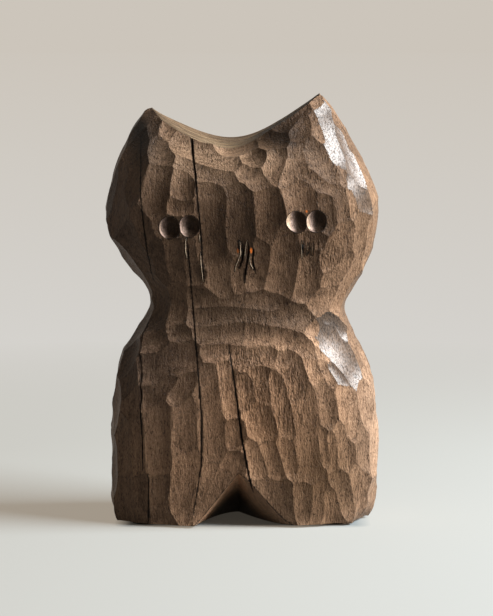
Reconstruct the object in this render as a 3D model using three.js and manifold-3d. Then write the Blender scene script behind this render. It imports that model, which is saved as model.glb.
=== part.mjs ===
// A cat figurine cut from one block of dark waxed wood with a gouge, standing on four felt pads.
// Millimetres, +Z up, the face looks along -Y and +X is on the right of someone who looks at the face.
import * as THREE from "three";
import { mergeVertices } from "three/addons/utils/BufferGeometryUtils.js";
import Module from "manifold-3d";

const wasm = await Module();
wasm.setup();

// Felt pads under the feet
const PAD_THICKNESS = 1.5;
const PAD_DIAMETER = 18;
const PAD_INSET = 10; // from the edge of the sole to the rim of a pad
const PAD_SIDES = 32;

// The block. Heights run from the sole to the tip of each ear.
const LEFT_EAR_HEIGHT = 240;
const RIGHT_EAR_HEIGHT = 248.5;

// Rows of [share of the height, millimetres from the middle plane]: the outline seen from the front.
const LEFT_OUTLINE = [
  [0, 75], [0.015, 77], [0.045, 78.2], [0.12, 78], [0.244, 77.5], [0.36, 74.4], [0.42, 69], [0.475, 61],
  [0.52, 55.6], [0.55, 56], [0.595, 62.8], [0.655, 73.6], [0.7, 78.8], [0.76, 80.4], [0.815, 78],
  [0.86, 75.4], [0.935, 67], [0.965, 62.8], [0.985, 58.6], [1, 53.5],
];
const RIGHT_OUTLINE = [
  [0, 71.5], [0.012, 74.6], [0.03, 77.2], [0.115, 79.6], [0.21, 80], [0.315, 76.8], [0.39, 71],
  [0.445, 64.7], [0.49, 60.3], [0.53, 63.3], [0.58, 70.2], [0.64, 76.6], [0.7, 79.2], [0.76, 79],
  [0.82, 73.4], [0.885, 64.5], [0.945, 56.4], [0.972, 52], [0.988, 49], [1, 45],
];
// Rows of [share of the height, half depth]: the outline seen from the side.
const SIDE_OUTLINE = [
  [0, 42], [0.04, 43.5], [0.12, 44.5], [0.25, 45], [0.36, 42.5], [0.44, 38.5], [0.51, 35.5],
  [0.58, 37], [0.68, 41], [0.78, 42.5], [0.86, 41], [0.93, 36.5], [1, 27],
];
// Rows of [share of the height, power of the plan]: 2 is an ellipse, more is nearer a rectangle.
const PLAN_POWER = [[0, 3], [0.8, 3], [0.9, 2.55], [1, 2.1]];

// The saddle between the ears. A start is the share of the height at which a bend sets in.
const SADDLE_DROP = 22; // how far its middle lies below the tips
const SADDLE_START = 0.6;
const SADDLE_BEND = 0.5; // a smaller bend makes its middle more pointed
const TOP_FALL = 5; // how much lower its front edge is than its back edge, on the left
const TOP_FALL_RIGHT = 1;
const TOP_FALL_EASE = [-0.1, 0.5]; // the places across between which one becomes the other
const TOP_FALL_START = 0.86;
const TOP_FALL_POWER = 12; // a high power keeps the fall off the tips of the ears
const BROW_HOLLOW = 7; // how far the forehead and the nape sink in between the ears
const BROW_START = 0.78;
const EAR_LEAN = 6; // how far the ears lean to the front
const EAR_LEAN_START = 0.8;

// The notch that parts the feet, at the front only. It narrows and grows shallow as it rises.
const NOTCH_HEIGHT = 31;
const NOTCH_DEPTH = 44;
const NOTCH_LEFT = 25;
const NOTCH_RIGHT = 33;
const NOTCH_X = -2.5;
const NOTCH_LEFT_POWER = 1.8; // its left wall is steep
const NOTCH_RIGHT_POWER = 1.6; // its right wall is rounded
const NOTCH_RISE_POWER = 0.8;
const NOTCH_BELOW = 3.72; // how far below the sole its cutter starts
const NOTCH_PEAK_GAP = 0.465; // how far below the peak of the notch its cutter ends
const NOTCH_SPREAD = 1.15; // half width of the cutter as a multiple of the notch's own
const NOTCH_STAND = 30; // how far its cutter stands out at the front

// Gouge work. A cut is a hollow of one radius, and its middle lies a little below the block's surface.
const GOUGE_RADIUS = 16;
const GOUGE_DEPTH = 1;
const FLAT_RADIUS = 45; // the wide flat cuts of the flanks
const FLAT_DEPTH = 1.7;
const CUT_OVERRUN = 28; // how far past its ends a cut still shapes the wood
const CUT_PROUD = 3; // how far wood that no cut reaches may stand proud
const CUT_DEEPEST = 4;
const FACING_LEAST = 0.2; // a cut leaves alone a surface that turns away from it further than this
const SLANT_LEAST = 0.35;

// The flanks and the back: a direction is in degrees, 0 on the right flank and 90 at the back.
const BACK_FROM = -22;
const BACK_TO = 202;
const BACK_CUT_WIDTH = 15;
const BACK_CUT_LENGTH = 20;
const BACK_STAGGER = 0.5; // shift of every other row, as a share of a cut's width
const BACK_SIDE_PLAY = 0.45; // how far a cut strays to the side, as a share of its width
const BACK_RISE_PLAY = 0.5; // how far it strays up or down, as a share of its length
const BACK_TILT = 0.05; // radians round the block
const BACK_HALF_LENGTH = [0.25, 0.4]; // shares of its pitch
const BACK_RADIUS = [0.75, 1.2]; // multiples of the flat cut's radius
const BACK_DEPTH = [0.9, 1.2]; // multiples of the gouge's depth

// Each eye is two round hollows side by side.
const EYE_DIAMETER = 12.3;
const EYE_DEPTH = 3.8;

// Cracks and slits
const CRACK_DEPTH = 7;
const NOSE_DEPTH = 5;
const SPLIT_DEPTH = 3;
const CUTTER_STAND = 3; // how far a cutter stands out of the wood

// How fine the faces are
const COLUMNS = 80;
const ROWS = 46;
const TOP_STEPS = 6;
const NOTCH_STEPS = 12;
const NOTCH_LEVELS = 8;
const BALL_COLUMNS = 20;
const BALL_ROWS = 14;
const OUTLINE_SAMPLES = 2000;
const OUTLINE_LEVEL = 0.2; // share of the height at which the level outline is measured
const RIDGE_REACH = 0.42; // how far a point may move to a ridge, as a share of a column's width
const NUDGE = 0.001; // the small step that slopes are measured over
const NEARLY_ZERO = 1e-8;
const PERCENT = 0.01;
const PLACING_ROUNDS = 8; // corrections made when a place on the front is looked up

const WOOD_COLOUR = 0x5f4632;
const WOOD_ROUGHNESS = 0.5;
const FELT_COLOUR = 0x2b2622;
const FELT_ROUGHNESS = 1;

const SOLE = PAD_THICKNESS;

// Cuts on the front as [s0, t0, s1, t1, radius, depth], the last two as multiples of the gouge's own.
// s is the place across in percent of the half width, t the place up in percent of the height.
const FACE_CUTS = [
  // Left ear and brow
  [-88, 98.6, -84, 97.2, 0.75, 1], [-77, 99.2, -72, 98, 0.75, 1], [-73, 95.2, -63, 90.5, 1.15, 1.3],
  [-57, 97.4, -5, 91.5, 1.05, 1.2], [-43, 90, -8, 85.8, 1.05, 1.2], [-6, 82.2, -2, 81.6, 0.95, 1.1],
  // Left cheek, nose and chin
  [-61, 86.5, -63, 77.5, 1.25, 1.4], [-43, 86.3, -42, 81, 1, 1.1], [-47, 77.5, -39, 77.3, 0.9, 0.9],
  [-21, 80.5, -26.5, 65, 1.5, 2], [-1, 79, -3, 67, 1.5, 1.4], [-73, 74, -72, 68, 1.8, 0.2],
  [-56, 72, -40, 72, 1.6, 0.4], [-68, 66.5, -76, 60, 2, 0.25], [-53, 67, -61, 61, 2, 0.2],
  [-38, 67.5, -46, 61, 2, 0.25], [-20, 63.3, -28, 57, 1.8, 0.6], [-12, 62, -12, 58, 1.4, 0.4],
  // Right brow and ear
  [-6, 98.8, 18, 99.4, 0.85, 0.9], [15, 93.6, 18, 91.8, 0.75, 1.3], [8, 87.5, 18, 84.5, 1, 1.2],
  [38, 91, 27, 86, 0.95, 1.1], [30, 99, 44, 95.5, 1, 1], [53, 99.8, 76, 100.2, 0.95, 1.3],
  [71, 97.5, 61, 95, 0.9, 1.3], [57, 91.8, 42, 84, 1.1, 1.3], [80, 97, 78.5, 92.5, 0.9, 1],
  [91, 99.3, 88, 97.5, 0.8, 1], [66, 90, 72, 83, 1.25, 1.8], [80, 84.5, 78.5, 81, 0.8, 1],
  [50, 83.5, 68, 79.5, 0.95, 1.2], [72, 79, 73, 72.5, 0.9, 1], [80, 77.5, 81, 73, 0.8, 0.9],
  [45, 80.5, 47, 73, 1.35, 2], [60, 76.5, 60, 72, 1.1, 1.4], [18.5, 79, 18.5, 69.3, 1.15, 1.3],
  // Right cheek
  [30, 68, 25, 57, 1.4, 1.6], [10.5, 66, 3, 58.5, 1.15, 1.1], [45, 68, 52, 67, 1, 1],
  [48, 63, 50.5, 55, 1.1, 1.1], [75, 69, 65, 62.5, 1.1, 1.4], [80.5, 61.3, 72, 57, 0.9, 1.1],
  [76.5, 54, 66.5, 51.5, 1, 1.1], [90.5, 62.3, 88, 52.3, 1.3, 1.3], [86.5, 71.3, 88.5, 65, 1.2, 1.3],
  [94.5, 68.5, 96, 62, 1.2, 1.3],
  // Neck
  [-52, 54, 24, 53.3, 1, 1.1], [-45, 49.7, 58, 49, 1, 1.1], [-70, 55.5, -68, 50.5, 1.6, 0.5],
  [-37, 45.2, -3, 45.4, 0.9, 1.1], [5, 45, 38, 43.2, 0.9, 1.1], [-60, 45.8, -50, 44.6, 0.8, 0.8],
  [40, 43, 58, 40, 0.75, 1], [66, 45.6, 80, 45.2, 0.8, 0.9], [68, 42.7, 73.5, 41.4, 0.6, 1],
  [63, 40.4, 70.5, 39, 0.6, 1],
  // Belly and right leg
  [-2, 39.8, 20.5, 40.5, 0.95, 1.2], [38, 39, 41, 31.5, 1.3, 1.6], [44, 30, 48.5, 13, 2.2, 1.3],
  [55, 38.6, 58.5, 34.5, 0.85, 1], [64.5, 38, 67, 33.8, 0.65, 1], [60.5, 33, 61, 25, 0.95, 1.1],
  [77, 31, 78, 22, 1.15, 1.3], [26, 34, 32, 22.5, 0.95, 1.1], [1.5, 33.5, 3, 29, 0.85, 1],
  [13, 36, 14, 30, 0.85, 0.9], [9, 27.3, 14.5, 22, 1.3, 1.4], [16, 19, 22.5, 12.7, 0.9, 1.1],
  [29, 19.5, 34, 14, 0.85, 0.9], [5, 18.5, 11.5, 13, 0.9, 1], [18, 9.5, 28, 2.5, 3, 0.7],
  [45, 8.5, 46, 3, 0.9, 1.1], [55, 9, 56, 2.5, 1.4, 0.6], [55.5, 22, 59.5, 15, 0.6, 0.9],
  [63.5, 20.5, 65.5, 13.5, 0.6, 0.9], [71, 22, 74, 14.5, 1, 1.2], [64, 6.5, 68, 1.5, 0.9, 1],
  [69, 11.5, 78, 4.5, 1, 1.1], [82.5, 12, 86, 6, 0.9, 1], [86, 5.5, 93, 1, 1, 1],
  [86, 22, 87, 14.5, 0.9, 1], [95, 42, 95, 37, 1.2, 1.3], [91, 32, 91.5, 24, 1.2, 1.4],
  // Left hip and leg
  [-80, 45, -72, 43.5, 1.4, 0.5], [-38, 41, -12, 41.2, 0.75, 0.9], [-46, 40.3, -68, 36.9, 1.7, 2.3],
  [-57, 35.2, -70, 31, 0.95, 1.5], [-42.5, 35.2, -50, 31.8, 1, 1.2], [-65, 27, -64.5, 15, 2.6, 0.55],
  [-42, 28.3, -43.5, 19, 2.2, 0.35], [-29, 36, -23, 17.5, 2.6, 0.5], [-40, 15.5, -46, 5, 1.9, 0.8],
  [-24, 13.5, -33.5, 5.5, 1.6, 0.4], [-12.5, 37.5, -9.5, 28, 1.2, 0.5], [-7, 23.5, -7.5, 20, 0.85, 0.8],
  [-7.5, 15.5, -25, 3, 0.95, 1.3], [-62, 10, -60.5, 2.5, 2.2, 0.3], [-80, 23, -78.5, 14, 1.4, 0.5],
  [-75.5, 10, -75.5, 2.5, 1.6, 0.3], [-89, 22.5, -87, 13, 1.8, 0.6], [-87, 9, -86, 2.5, 1.8, 0.6],
  [-93.5, 42, -92.5, 37.5, 1.1, 1.2], [-88, 35.5, -88, 33, 1.6, 0.5], [-84, 30.5, -83.5, 27, 1.4, 0.5],
];
// The cuts on the right ear and the right hip that are rubbed to a shine
const POLISHED_CUTS = [
  [89.5, 96, 84, 87, 2.4, 1.7], [93.5, 91, 90, 82, 2.4, 1.7], [84.5, 80.5, 88, 74.5, 1.6, 1.2],
  [80, 46.5, 88, 43.8, 1, 1.1], [78, 42.4, 87, 36.5, 3, 2.4], [72, 37.2, 79, 33.6, 0.85, 1.2],
];
// The wide cuts of the two front corners, as multiples of the flat cut's radius and depth
const FLANK_CUTS = [
  [-96, 97, -92, 93, 0.65, 0.7], [-90, 94, -88, 89, 1, 1], [-84, 87, -85, 82, 1, 1],
  [-91, 84, -91, 74, 1.2, 1.1], [-86, 70, -85, 63, 0.8, 0.9], [-88, 58, -86, 50, 0.7, 0.8],
  [96, 94, 95, 88, 0.65, 0.7], [97, 84, 97, 76, 0.7, 0.8],
];

// Middles of the eye hollows as [x, z]
const EYE_HOLLOWS = [[-42, 173.8], [-30.4, 174.7], [31.3, 177.2], [42.2, 177.5]];

// Cracks as rows of [x, z, width], from one pointed end to the other
const CRACKS = [
  [
    [-59.7, 226, 0], [-59.3, 214, 0.25], [-59, 205.5, 0.35], [-58.6, 195.5, 0.4], [-58, 185.5, 0.45],
    [-57, 174, 0.55], [-56.2, 168, 0.6], [-55.2, 160.5, 0.6], [-54, 150.5, 0.5], [-52.5, 141.5, 0],
  ],
  [
    [-55, 119.5, 0], [-56, 114, 0.45], [-58, 108, 0.45], [-58.5, 99.5, 0.55], [-58.6, 86.5, 0.8],
    [-58.9, 70.5, 0.9], [-58.3, 53, 0.8], [-58.1, 40.5, 0.5], [-58, 33, 0],
  ],
  [[-54.7, 31.5, 0], [-54.5, 25.5, 0.45], [-54.6, 15.5, 0.5], [-54.8, 3, 0.45], [-54.8, -4, 0]],
  [
    [-31, 233, 0], [-30.3, 228, 0.5], [-29.7, 225, 0.85], [-29.1, 221, 1.1], [-27.3, 205.5, 1.05],
    [-26.6, 197, 0.95], [-26.2, 192, 0.8], [-25.8, 186.5, 0.75], [-25, 180.5, 0.75], [-24.4, 172, 0.55],
    [-24, 166.5, 0.5], [-23.6, 160.5, 0.5], [-23.3, 155, 0.45], [-22.7, 149, 0.5], [-22.4, 145.5, 0.4],
    [-21.9, 142.5, 0],
  ],
  [
    [-32.1, 168, 0], [-31.8, 164.5, 0.45], [-31.4, 161, 0.8], [-31.1, 155, 0.5], [-30.5, 149, 0.5],
    [-29.9, 143.5, 0.55], [-29.6, 137.5, 0.55], [-29.5, 132, 0.55], [-29, 127.5, 0.6],
    [-28.5, 121.5, 0.6], [-27.9, 115.5, 0.65], [-27.3, 106.5, 0.6], [-26, 93, 0.5], [-24.8, 78, 0.55],
    [-23.6, 63, 0.6], [-23.8, 48, 0.5], [-24, 37, 0.45], [-26, 24.5, 0.4], [-28.7, 8, 0],
  ],
  [
    [-8.3, 106, 0], [-6.8, 96.5, 0.45], [-5, 84.5, 0.55], [-3.2, 71.5, 0.7], [-1.6, 59.5, 0.85],
    [0.3, 47, 0.95], [2.7, 34.5, 0.95], [5.2, 23, 0.75], [6.5, 19, 0],
  ],
];
// The nose is four slits that part downwards.
const NOSE_SLITS = [
  [[-2.5, 167, 0], [-2.5, 163, 0.44], [-2.9, 159.5, 0]],
  [[-0.8, 166, 0], [0.1, 160.5, 1.04], [-0.2, 156.5, 1.1], [-1.1, 153, 1.04], [-2.4, 150, 0]],
  [
    [3, 165.5, 0], [3.4, 160.5, 0.99], [3, 157.5, 1.1], [2.3, 153.5, 1.21], [1.7, 150, 1.21],
    [1.1, 145.5, 0.99], [0.9, 142, 0],
  ],
  [
    [5.2, 165, 0], [6.2, 160.5, 1.21], [5.6, 156, 0.99], [5.7, 152.5, 0.88], [7, 149, 0.99],
    [7.4, 147, 0],
  ],
];
// Short splits under the right eye
const SPLITS = [
  [[34.6, 166, 0], [34.5, 161, 0.35], [34.8, 157, 0]],
  [[38.2, 165.5, 0], [38.1, 161.5, 0.5], [37.5, 158, 0]],
  [[40.5, 165.5, 0], [40.5, 161, 0.35], [40.3, 157, 0]],
];

function waxedWood() {
  const looks = { color: WOOD_COLOUR, roughness: WOOD_ROUGHNESS, metalness: 0 };
  return new THREE.MeshStandardMaterial(looks);
}

function felt() {
  const looks = { color: FELT_COLOUR, roughness: FELT_ROUGHNESS, metalness: 0 };
  return new THREE.MeshStandardMaterial(looks);
}

// A smooth curve through rows of [place, value]
function curve(rows, place) {
  const x = Math.min(Math.max(place, rows[0][0]), rows[rows.length - 1][0]);
  let k = 0;
  while (k < rows.length - 2 && rows[k + 1][0] <= x) k += 1;
  const slope = (i) => {
    const a = rows[Math.max(i - 1, 0)];
    const b = rows[Math.min(i + 1, rows.length - 1)];
    return (b[1] - a[1]) / (b[0] - a[0]);
  };
  const h = rows[k + 1][0] - rows[k][0];
  const f = (x - rows[k][0]) / h;
  const g = 1 - f;
  const ends = (1 + 2 * f) * g * g * rows[k][1] + f * f * (3 - 2 * f) * rows[k + 1][1];
  return ends + h * (f * g * g * slope(k) - f * f * g * slope(k + 1));
}

const { clamp, smoothstep, lerp, degToRad } = THREE.MathUtils;

// A point of the block: s across and c from front to back, each -1 to 1, and t up, 0 to 1.
function form(s, c, t) {
  const across = (s + 1) / 2;
  const x = lerp(-curve(LEFT_OUTLINE, t), curve(RIGHT_OUTLINE, t), across);
  const sag = clamp((t - SADDLE_START) / (1 - SADDLE_START), 0, 1) ** 2;
  const slope = lerp(TOP_FALL, TOP_FALL_RIGHT, smoothstep(s, ...TOP_FALL_EASE));
  const fall = slope * smoothstep(t, TOP_FALL_START, 1) * (1 - Math.abs(s) ** TOP_FALL_POWER);
  const bend = (share) => Math.hypot(share, SADDLE_BEND) - SADDLE_BEND;
  let z = SOLE + t * lerp(LEFT_EAR_HEIGHT, RIGHT_EAR_HEIGHT, across);
  z -= SADDLE_DROP * (1 - bend(s) / bend(1)) * sag;
  z -= (fall * (1 - c)) / 2;
  const hollow = BROW_HOLLOW * (1 - s * s) * smoothstep(t, BROW_START, 1);
  const y = c * (curve(SIDE_OUTLINE, t) - hollow) - EAR_LEAN * smoothstep(t, EAR_LEAN_START, 1);
  return new THREE.Vector3(x, y, z);
}

// The surface: a is the direction in the plan, 0 on the right flank and a quarter turn at the back.
function surface(a, t) {
  const up = clamp(t, 0, 1);
  const power = 2 / curve(PLAN_POWER, up);
  const s = Math.sign(Math.cos(a)) * Math.abs(Math.cos(a)) ** power;
  const c = Math.sign(Math.sin(a)) * Math.abs(Math.sin(a)) ** power;
  return form(s, c, up);
}

function normal(a, t) {
  const up = clamp(t, NUDGE, 1 - NUDGE);
  const round = surface(a + NUDGE, up).sub(surface(a - NUDGE, up));
  const rise = surface(a, up + NUDGE).sub(surface(a, up - NUDGE));
  return round.cross(rise).normalize();
}

// The direction in the plan at which the front lies s percent across, t percent up
function frontAngle(s, t) {
  const share = clamp(s * PERCENT, -1, 1);
  const power = curve(PLAN_POWER, t * PERCENT) / 2;
  return -Math.acos(Math.sign(share) * Math.abs(share) ** power);
}

// The direction in the plan and the share of the height at a place on the front given as x and z.
// The share is corrected a few times by how far the height there is out.
function onFront(x, z) {
  let a = 0;
  let t = z / LEFT_EAR_HEIGHT;
  for (let round = 0; round < PLACING_ROUNDS; round += 1) {
    const held = clamp(t, 0, 1);
    const left = curve(LEFT_OUTLINE, held);
    const across = (x + left) / (left + curve(RIGHT_OUTLINE, held));
    a = frontAngle((2 * across - 1) / PERCENT, held / PERCENT);
    t = held + (z - surface(a, held).z) / LEFT_EAR_HEIGHT;
  }
  return [a, t];
}

// One cut of the gouge: its middle line as three points on the block with their normals
function makeCut(ends, radius, depth) {
  const [a0, t0, a1, t1] = ends;
  const places = [[a0, t0], [(a0 + a1) / 2, (t0 + t1) / 2], [a1, t1]];
  return {
    points: places.map(([a, t]) => surface(a, t)),
    normals: places.map(([a, t]) => normal(a, t)),
    radius,
    depth,
  };
}

function frontCut([s0, t0, s1, t1, radius, depth], baseRadius, baseDepth) {
  const ends = [frontAngle(s0, t0), t0 * PERCENT, frontAngle(s1, t1), t1 * PERCENT];
  return makeCut(ends, radius * baseRadius, depth * baseDepth);
}

// A repeatable number from 0 to 1 for a cut's small differences
function scatter(index, which) {
  const v = Math.sin(index * 127.1 + which * 311.7) * 43758.5453;
  return v - Math.floor(v);
}

// Directions at equal lengths along a level outline of the block, from one direction to another
function evenAngles(from, to) {
  const rows = [[0, from]];
  for (let i = 1; i <= OUTLINE_SAMPLES; i += 1) {
    const a = lerp(from, to, i / OUTLINE_SAMPLES);
    const [length, before] = rows[i - 1];
    const run = surface(a, OUTLINE_LEVEL).distanceTo(surface(before, OUTLINE_LEVEL));
    rows.push([length + run, a]);
  }
  const total = rows[OUTLINE_SAMPLES][0];
  const at = (share) => {
    const target = clamp(share, 0, 1) * total;
    const k = Math.max(rows.findIndex(([length]) => length >= target), 1);
    const f = (target - rows[k - 1][0]) / (rows[k][0] - rows[k - 1][0]);
    return lerp(rows[k - 1][1], rows[k][1], f);
  };
  return { total, at };
}

// The flanks and the back: staggered rows of upright cuts, each a little off its place
function backCuts() {
  const path = evenAngles(degToRad(BACK_FROM), degToRad(BACK_TO));
  const columns = Math.round(path.total / BACK_CUT_WIDTH);
  const rows = Math.round(LEFT_EAR_HEIGHT / BACK_CUT_LENGTH);
  const made = [];
  for (let j = 0; j < rows; j += 1) {
    for (let i = 0; i < columns; i += 1) {
      const index = j * columns + i + 1;
      const stray = (which) => scatter(index, which) - 0.5;
      const shift = BACK_STAGGER * ((j % 2) - 0.5) + BACK_SIDE_PLAY * stray(0);
      const a = path.at((i + 0.5 + shift) / columns);
      const t = (j + 0.5 + BACK_RISE_PLAY * stray(1)) / rows;
      const half = lerp(...BACK_HALF_LENGTH, scatter(index, 2)) / rows;
      const tilt = BACK_TILT * stray(3);
      const size = scatter(index, 4);
      const ends = [a - tilt, t + half, a + tilt, t - half];
      const radius = FLAT_RADIUS * lerp(...BACK_RADIUS, size);
      made.push(makeCut(ends, radius, GOUGE_DEPTH * lerp(...BACK_DEPTH, size)));
    }
  }
  return made;
}

const cuts = [
  ...[...POLISHED_CUTS, ...FACE_CUTS].map((row) => frontCut(row, GOUGE_RADIUS, GOUGE_DEPTH)),
  ...FLANK_CUTS.map((row) => frontCut(row, FLAT_RADIUS, FLAT_DEPTH)),
  ...backCuts(),
];

// The value at share u of a smooth line through three vectors
function along([first, middle, last], u) {
  const result = first.clone().multiplyScalar((1 - u) * (1 - 2 * u));
  return result.addScaledVector(middle, 4 * u * (1 - u)).addScaledVector(last, u * (2 * u - 1));
}

// How far below the block's surface one cut lies at a point: most at its middle line, less beside it
function cutDepth(cut, point, facing) {
  const [start, middle, end] = cut.points;
  const run = end.clone().sub(start);
  if (point.distanceTo(middle) > run.length() / 2 + CUT_OVERRUN) return -Infinity;
  const share = point.clone().sub(start).dot(run) / Math.max(run.lengthSq(), NEARLY_ZERO);
  const u = clamp(share, 0, 1);
  const out = along(cut.normals, u).normalize();
  const turned = facing.dot(out);
  if (turned < FACING_LEAST) return -Infinity;
  const offset = point.clone().sub(along(cut.points, u));
  const height = offset.dot(out);
  const beside = offset.lengthSq() - height * height;
  const below = cut.depth + Math.min(height, 0) - beside / (2 * cut.radius);
  return below / Math.max(turned, SLANT_LEAST);
}

// The two deepest cuts at a place of the surface
function deepest(a, t) {
  const point = surface(a, t);
  const facing = normal(a, t);
  let first = { value: -Infinity, cut: null };
  let second = first;
  for (const cut of cuts) {
    const value = cutDepth(cut, point, facing);
    if (value > first.value) {
      second = first;
      first = { value, cut };
    } else if (value > second.value) {
      second = { value, cut };
    }
  }
  return { point, facing, first, second };
}

// A place of the surface, moved to the ridge between two cuts where that ridge is nearer than reach
function toRidge(a, t, reach, upDown) {
  const here = deepest(a, t);
  if (!here.second.cut || !Number.isFinite(here.second.value)) return [a, t];
  const difference = (aa, tt) => {
    const p = surface(aa, tt);
    const n = normal(aa, tt);
    return cutDepth(here.first.cut, p, n) - cutDepth(here.second.cut, p, n);
  };
  const step = 2 * NUDGE;
  const side = t > 0.5 ? -step : step;
  const roundLength = surface(a + step, t).distanceTo(surface(a - step, t)) / (2 * step);
  const riseLength = surface(a, t).distanceTo(surface(a, t + side)) / step;
  const g = here.first.value - here.second.value;
  const ga = (difference(a + step, t) - difference(a - step, t)) / (2 * step * roundLength);
  const gt = upDown ? (difference(a, t + side) - difference(a, t)) / (side * riseLength) : 0;
  const steep = ga * ga + gt * gt;
  if (!Number.isFinite(steep) || steep < NEARLY_ZERO) return [a, t];
  if (g / Math.sqrt(steep) > reach) return [a, t];
  return [a - (g * ga) / (steep * roundLength), t - (g * gt) / (steep * riseLength)];
}

// The carved point at a place of the surface
function carved(a, t) {
  const { point, facing, first } = deepest(a, t);
  const value = clamp(first.value, -CUT_PROUD, CUT_DEEPEST);
  const out = facing.clone();
  if (t <= 0 || t >= 1) out.setZ(0);
  return point.addScaledVector(out, -value);
}

function toSolid(vertices, triangles) {
  const vertProperties = new Float32Array(vertices.length * 3);
  vertices.forEach((v, i) => vertProperties.set([v.x, v.y, v.z], i * 3));
  const triVerts = new Uint32Array(triangles.flat());
  return new wasm.Manifold(new wasm.Mesh({ numProp: 3, vertProperties, triVerts }));
}

function toGeometry(solid) {
  const { vertProperties, triVerts } = solid.getMesh();
  const geometry = new THREE.BufferGeometry();
  geometry.setAttribute("position", new THREE.BufferAttribute(new Float32Array(vertProperties), 3));
  geometry.setIndex(new THREE.BufferAttribute(new Uint32Array(triVerts), 1));
  geometry.computeVertexNormals();
  return geometry;
}

// Two triangles over four corners, split along the diagonal that lies nearer the carved surface
function splitQuad(vertices, quad, middle) {
  const [p, q, r, s] = quad;
  const gap = (i, j) => vertices[i].clone().add(vertices[j]).multiplyScalar(0.5).distanceTo(middle);
  return gap(p, r) <= gap(q, s) ? [[p, q, r], [p, r, s]] : [[p, q, s], [q, r, s]];
}

// The carved block before its hollows: rings of points, closed by strips over the top and the sole
function carvedBlock() {
  const path = evenAngles(0, Math.PI);
  const half = COLUMNS / 2;
  const columnAngle = (k) => (k <= half ? path.at(k / half) : -path.at((COLUMNS - k) / half));
  const cell = path.total / half;
  const vertices = [];
  const places = [];
  for (let j = 0; j <= ROWS; j += 1) {
    for (let k = 0; k < COLUMNS; k += 1) {
      const start = [columnAngle(k), j / ROWS];
      const inside = j > 0 && j < ROWS;
      const fixed = !inside && (k === 0 || k === half);
      const place = fixed ? start : toRidge(...start, RIDGE_REACH * cell, inside);
      places.push(place);
      vertices.push(carved(place[0], clamp(place[1], 0, 1)));
    }
  }
  const index = (j, k) => j * COLUMNS + ((k + COLUMNS) % COLUMNS);
  const triangles = [];
  for (let j = 0; j < ROWS; j += 1) {
    for (let k = 0; k < COLUMNS; k += 1) {
      const quad = [index(j, k), index(j, k + 1), index(j + 1, k + 1), index(j + 1, k)];
      const [start] = places[quad[0]];
      const unwrap = (a) => a - 2 * Math.PI * Math.round((a - start) / (2 * Math.PI));
      const a = quad.reduce((sum, q) => sum + unwrap(places[q][0]), 0) / 4;
      const t = quad.reduce((sum, q) => sum + places[q][1], 0) / 4;
      triangles.push(...splitQuad(vertices, quad, carved(a, t)));
    }
  }
  triangles.push(...topStrips(vertices, index), ...soleStrips(index));
  return toSolid(vertices, triangles);
}

// The flat sole: strips from the front edge to the back edge at the same place across
function soleStrips(index) {
  const triangles = [];
  for (let k = 0; k < COLUMNS / 2; k += 1) {
    const front = [index(0, -k), index(0, -k - 1)];
    const back = [index(0, k), index(0, k + 1)];
    if (k < COLUMNS / 2 - 1) triangles.push([front[0], front[1], back[1]]);
    if (k > 0) triangles.push([front[0], back[1], back[0]]);
  }
  return triangles;
}

// The saddle: strips from the front rim to the back rim, whose inner points are added to the vertices
function topStrips(vertices, index) {
  const half = COLUMNS / 2;
  const [left, right] = [-curve(LEFT_OUTLINE, 1), curve(RIGHT_OUTLINE, 1)];
  const strip = (k) => {
    const ends = [index(ROWS, -k), index(ROWS, k)];
    if (k === 0 || k === half) return [ends[0]];
    const [front, back] = ends.map((i) => vertices[i]);
    const s = clamp((2 * (front.x - left)) / (right - left) - 1, -1, 1);
    const height = (c) => form(s, c, 1).z;
    const inner = [];
    for (let i = 1; i < TOP_STEPS; i += 1) {
      const f = i / TOP_STEPS;
      const point = front.clone().lerp(back, f);
      point.z += height(2 * f - 1) - lerp(height(-1), height(1), f);
      inner.push(vertices.push(point) - 1);
    }
    return [ends[0], ...inner, ends[1]];
  };
  const strips = Array.from({ length: half + 1 }, (_, k) => strip(k));
  const triangles = [];
  for (let k = 0; k < half; k += 1) {
    const [near, far] = [strips[k], strips[k + 1]];
    for (let i = 0; i < TOP_STEPS; i += 1) {
      if (near.length > 1) triangles.push([near[i], near[i + 1], far[Math.min(i, far.length - 1)]]);
      if (far.length > 1) triangles.push([near[Math.min(i + 1, near.length - 1)], far[i + 1], far[i]]);
    }
  }
  return triangles;
}

// A wedge along a line on the front: rows of [x, z, width], pointed at both ends
function wedge(rows, depth) {
  const places = rows.map(([x, z]) => onFront(x, z));
  const points = places.map(([a, t]) => {
    const held = clamp(t, 0, 1);
    const point = carved(a, held);
    point.z += (t - held) * LEFT_EAR_HEIGHT;
    return point;
  });
  const outs = places.map(([a, t]) => normal(a, t));
  const vertices = [points[0]];
  for (let i = 1; i < rows.length - 1; i += 1) {
    const run = points[i + 1].clone().sub(points[i - 1]).normalize();
    const side = run.clone().cross(outs[i]).normalize();
    const reach = (rows[i][2] / 2) * (1 + CUTTER_STAND / depth);
    const lifted = points[i].clone().addScaledVector(outs[i], CUTTER_STAND);
    vertices.push(lifted.clone().addScaledVector(side, -reach));
    vertices.push(lifted.clone().addScaledVector(side, reach));
    vertices.push(points[i].clone().addScaledVector(outs[i], -depth));
  }
  vertices.push(points[rows.length - 1]);
  const last = vertices.length - 1;
  const triangles = [];
  for (let e = 0; e < 3; e += 1) {
    const f = (e + 1) % 3;
    triangles.push([0, 1 + f, 1 + e], [last, last - 3 + e, last - 3 + f]);
    for (let i = 1; i < rows.length - 2; i += 1) {
      const here = 3 * i - 2;
      triangles.push([here + e, here + f, here + 3 + e], [here + f, here + 3 + f, here + 3 + e]);
    }
  }
  return upright(toSolid(vertices, triangles), vertices, triangles);
}

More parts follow.
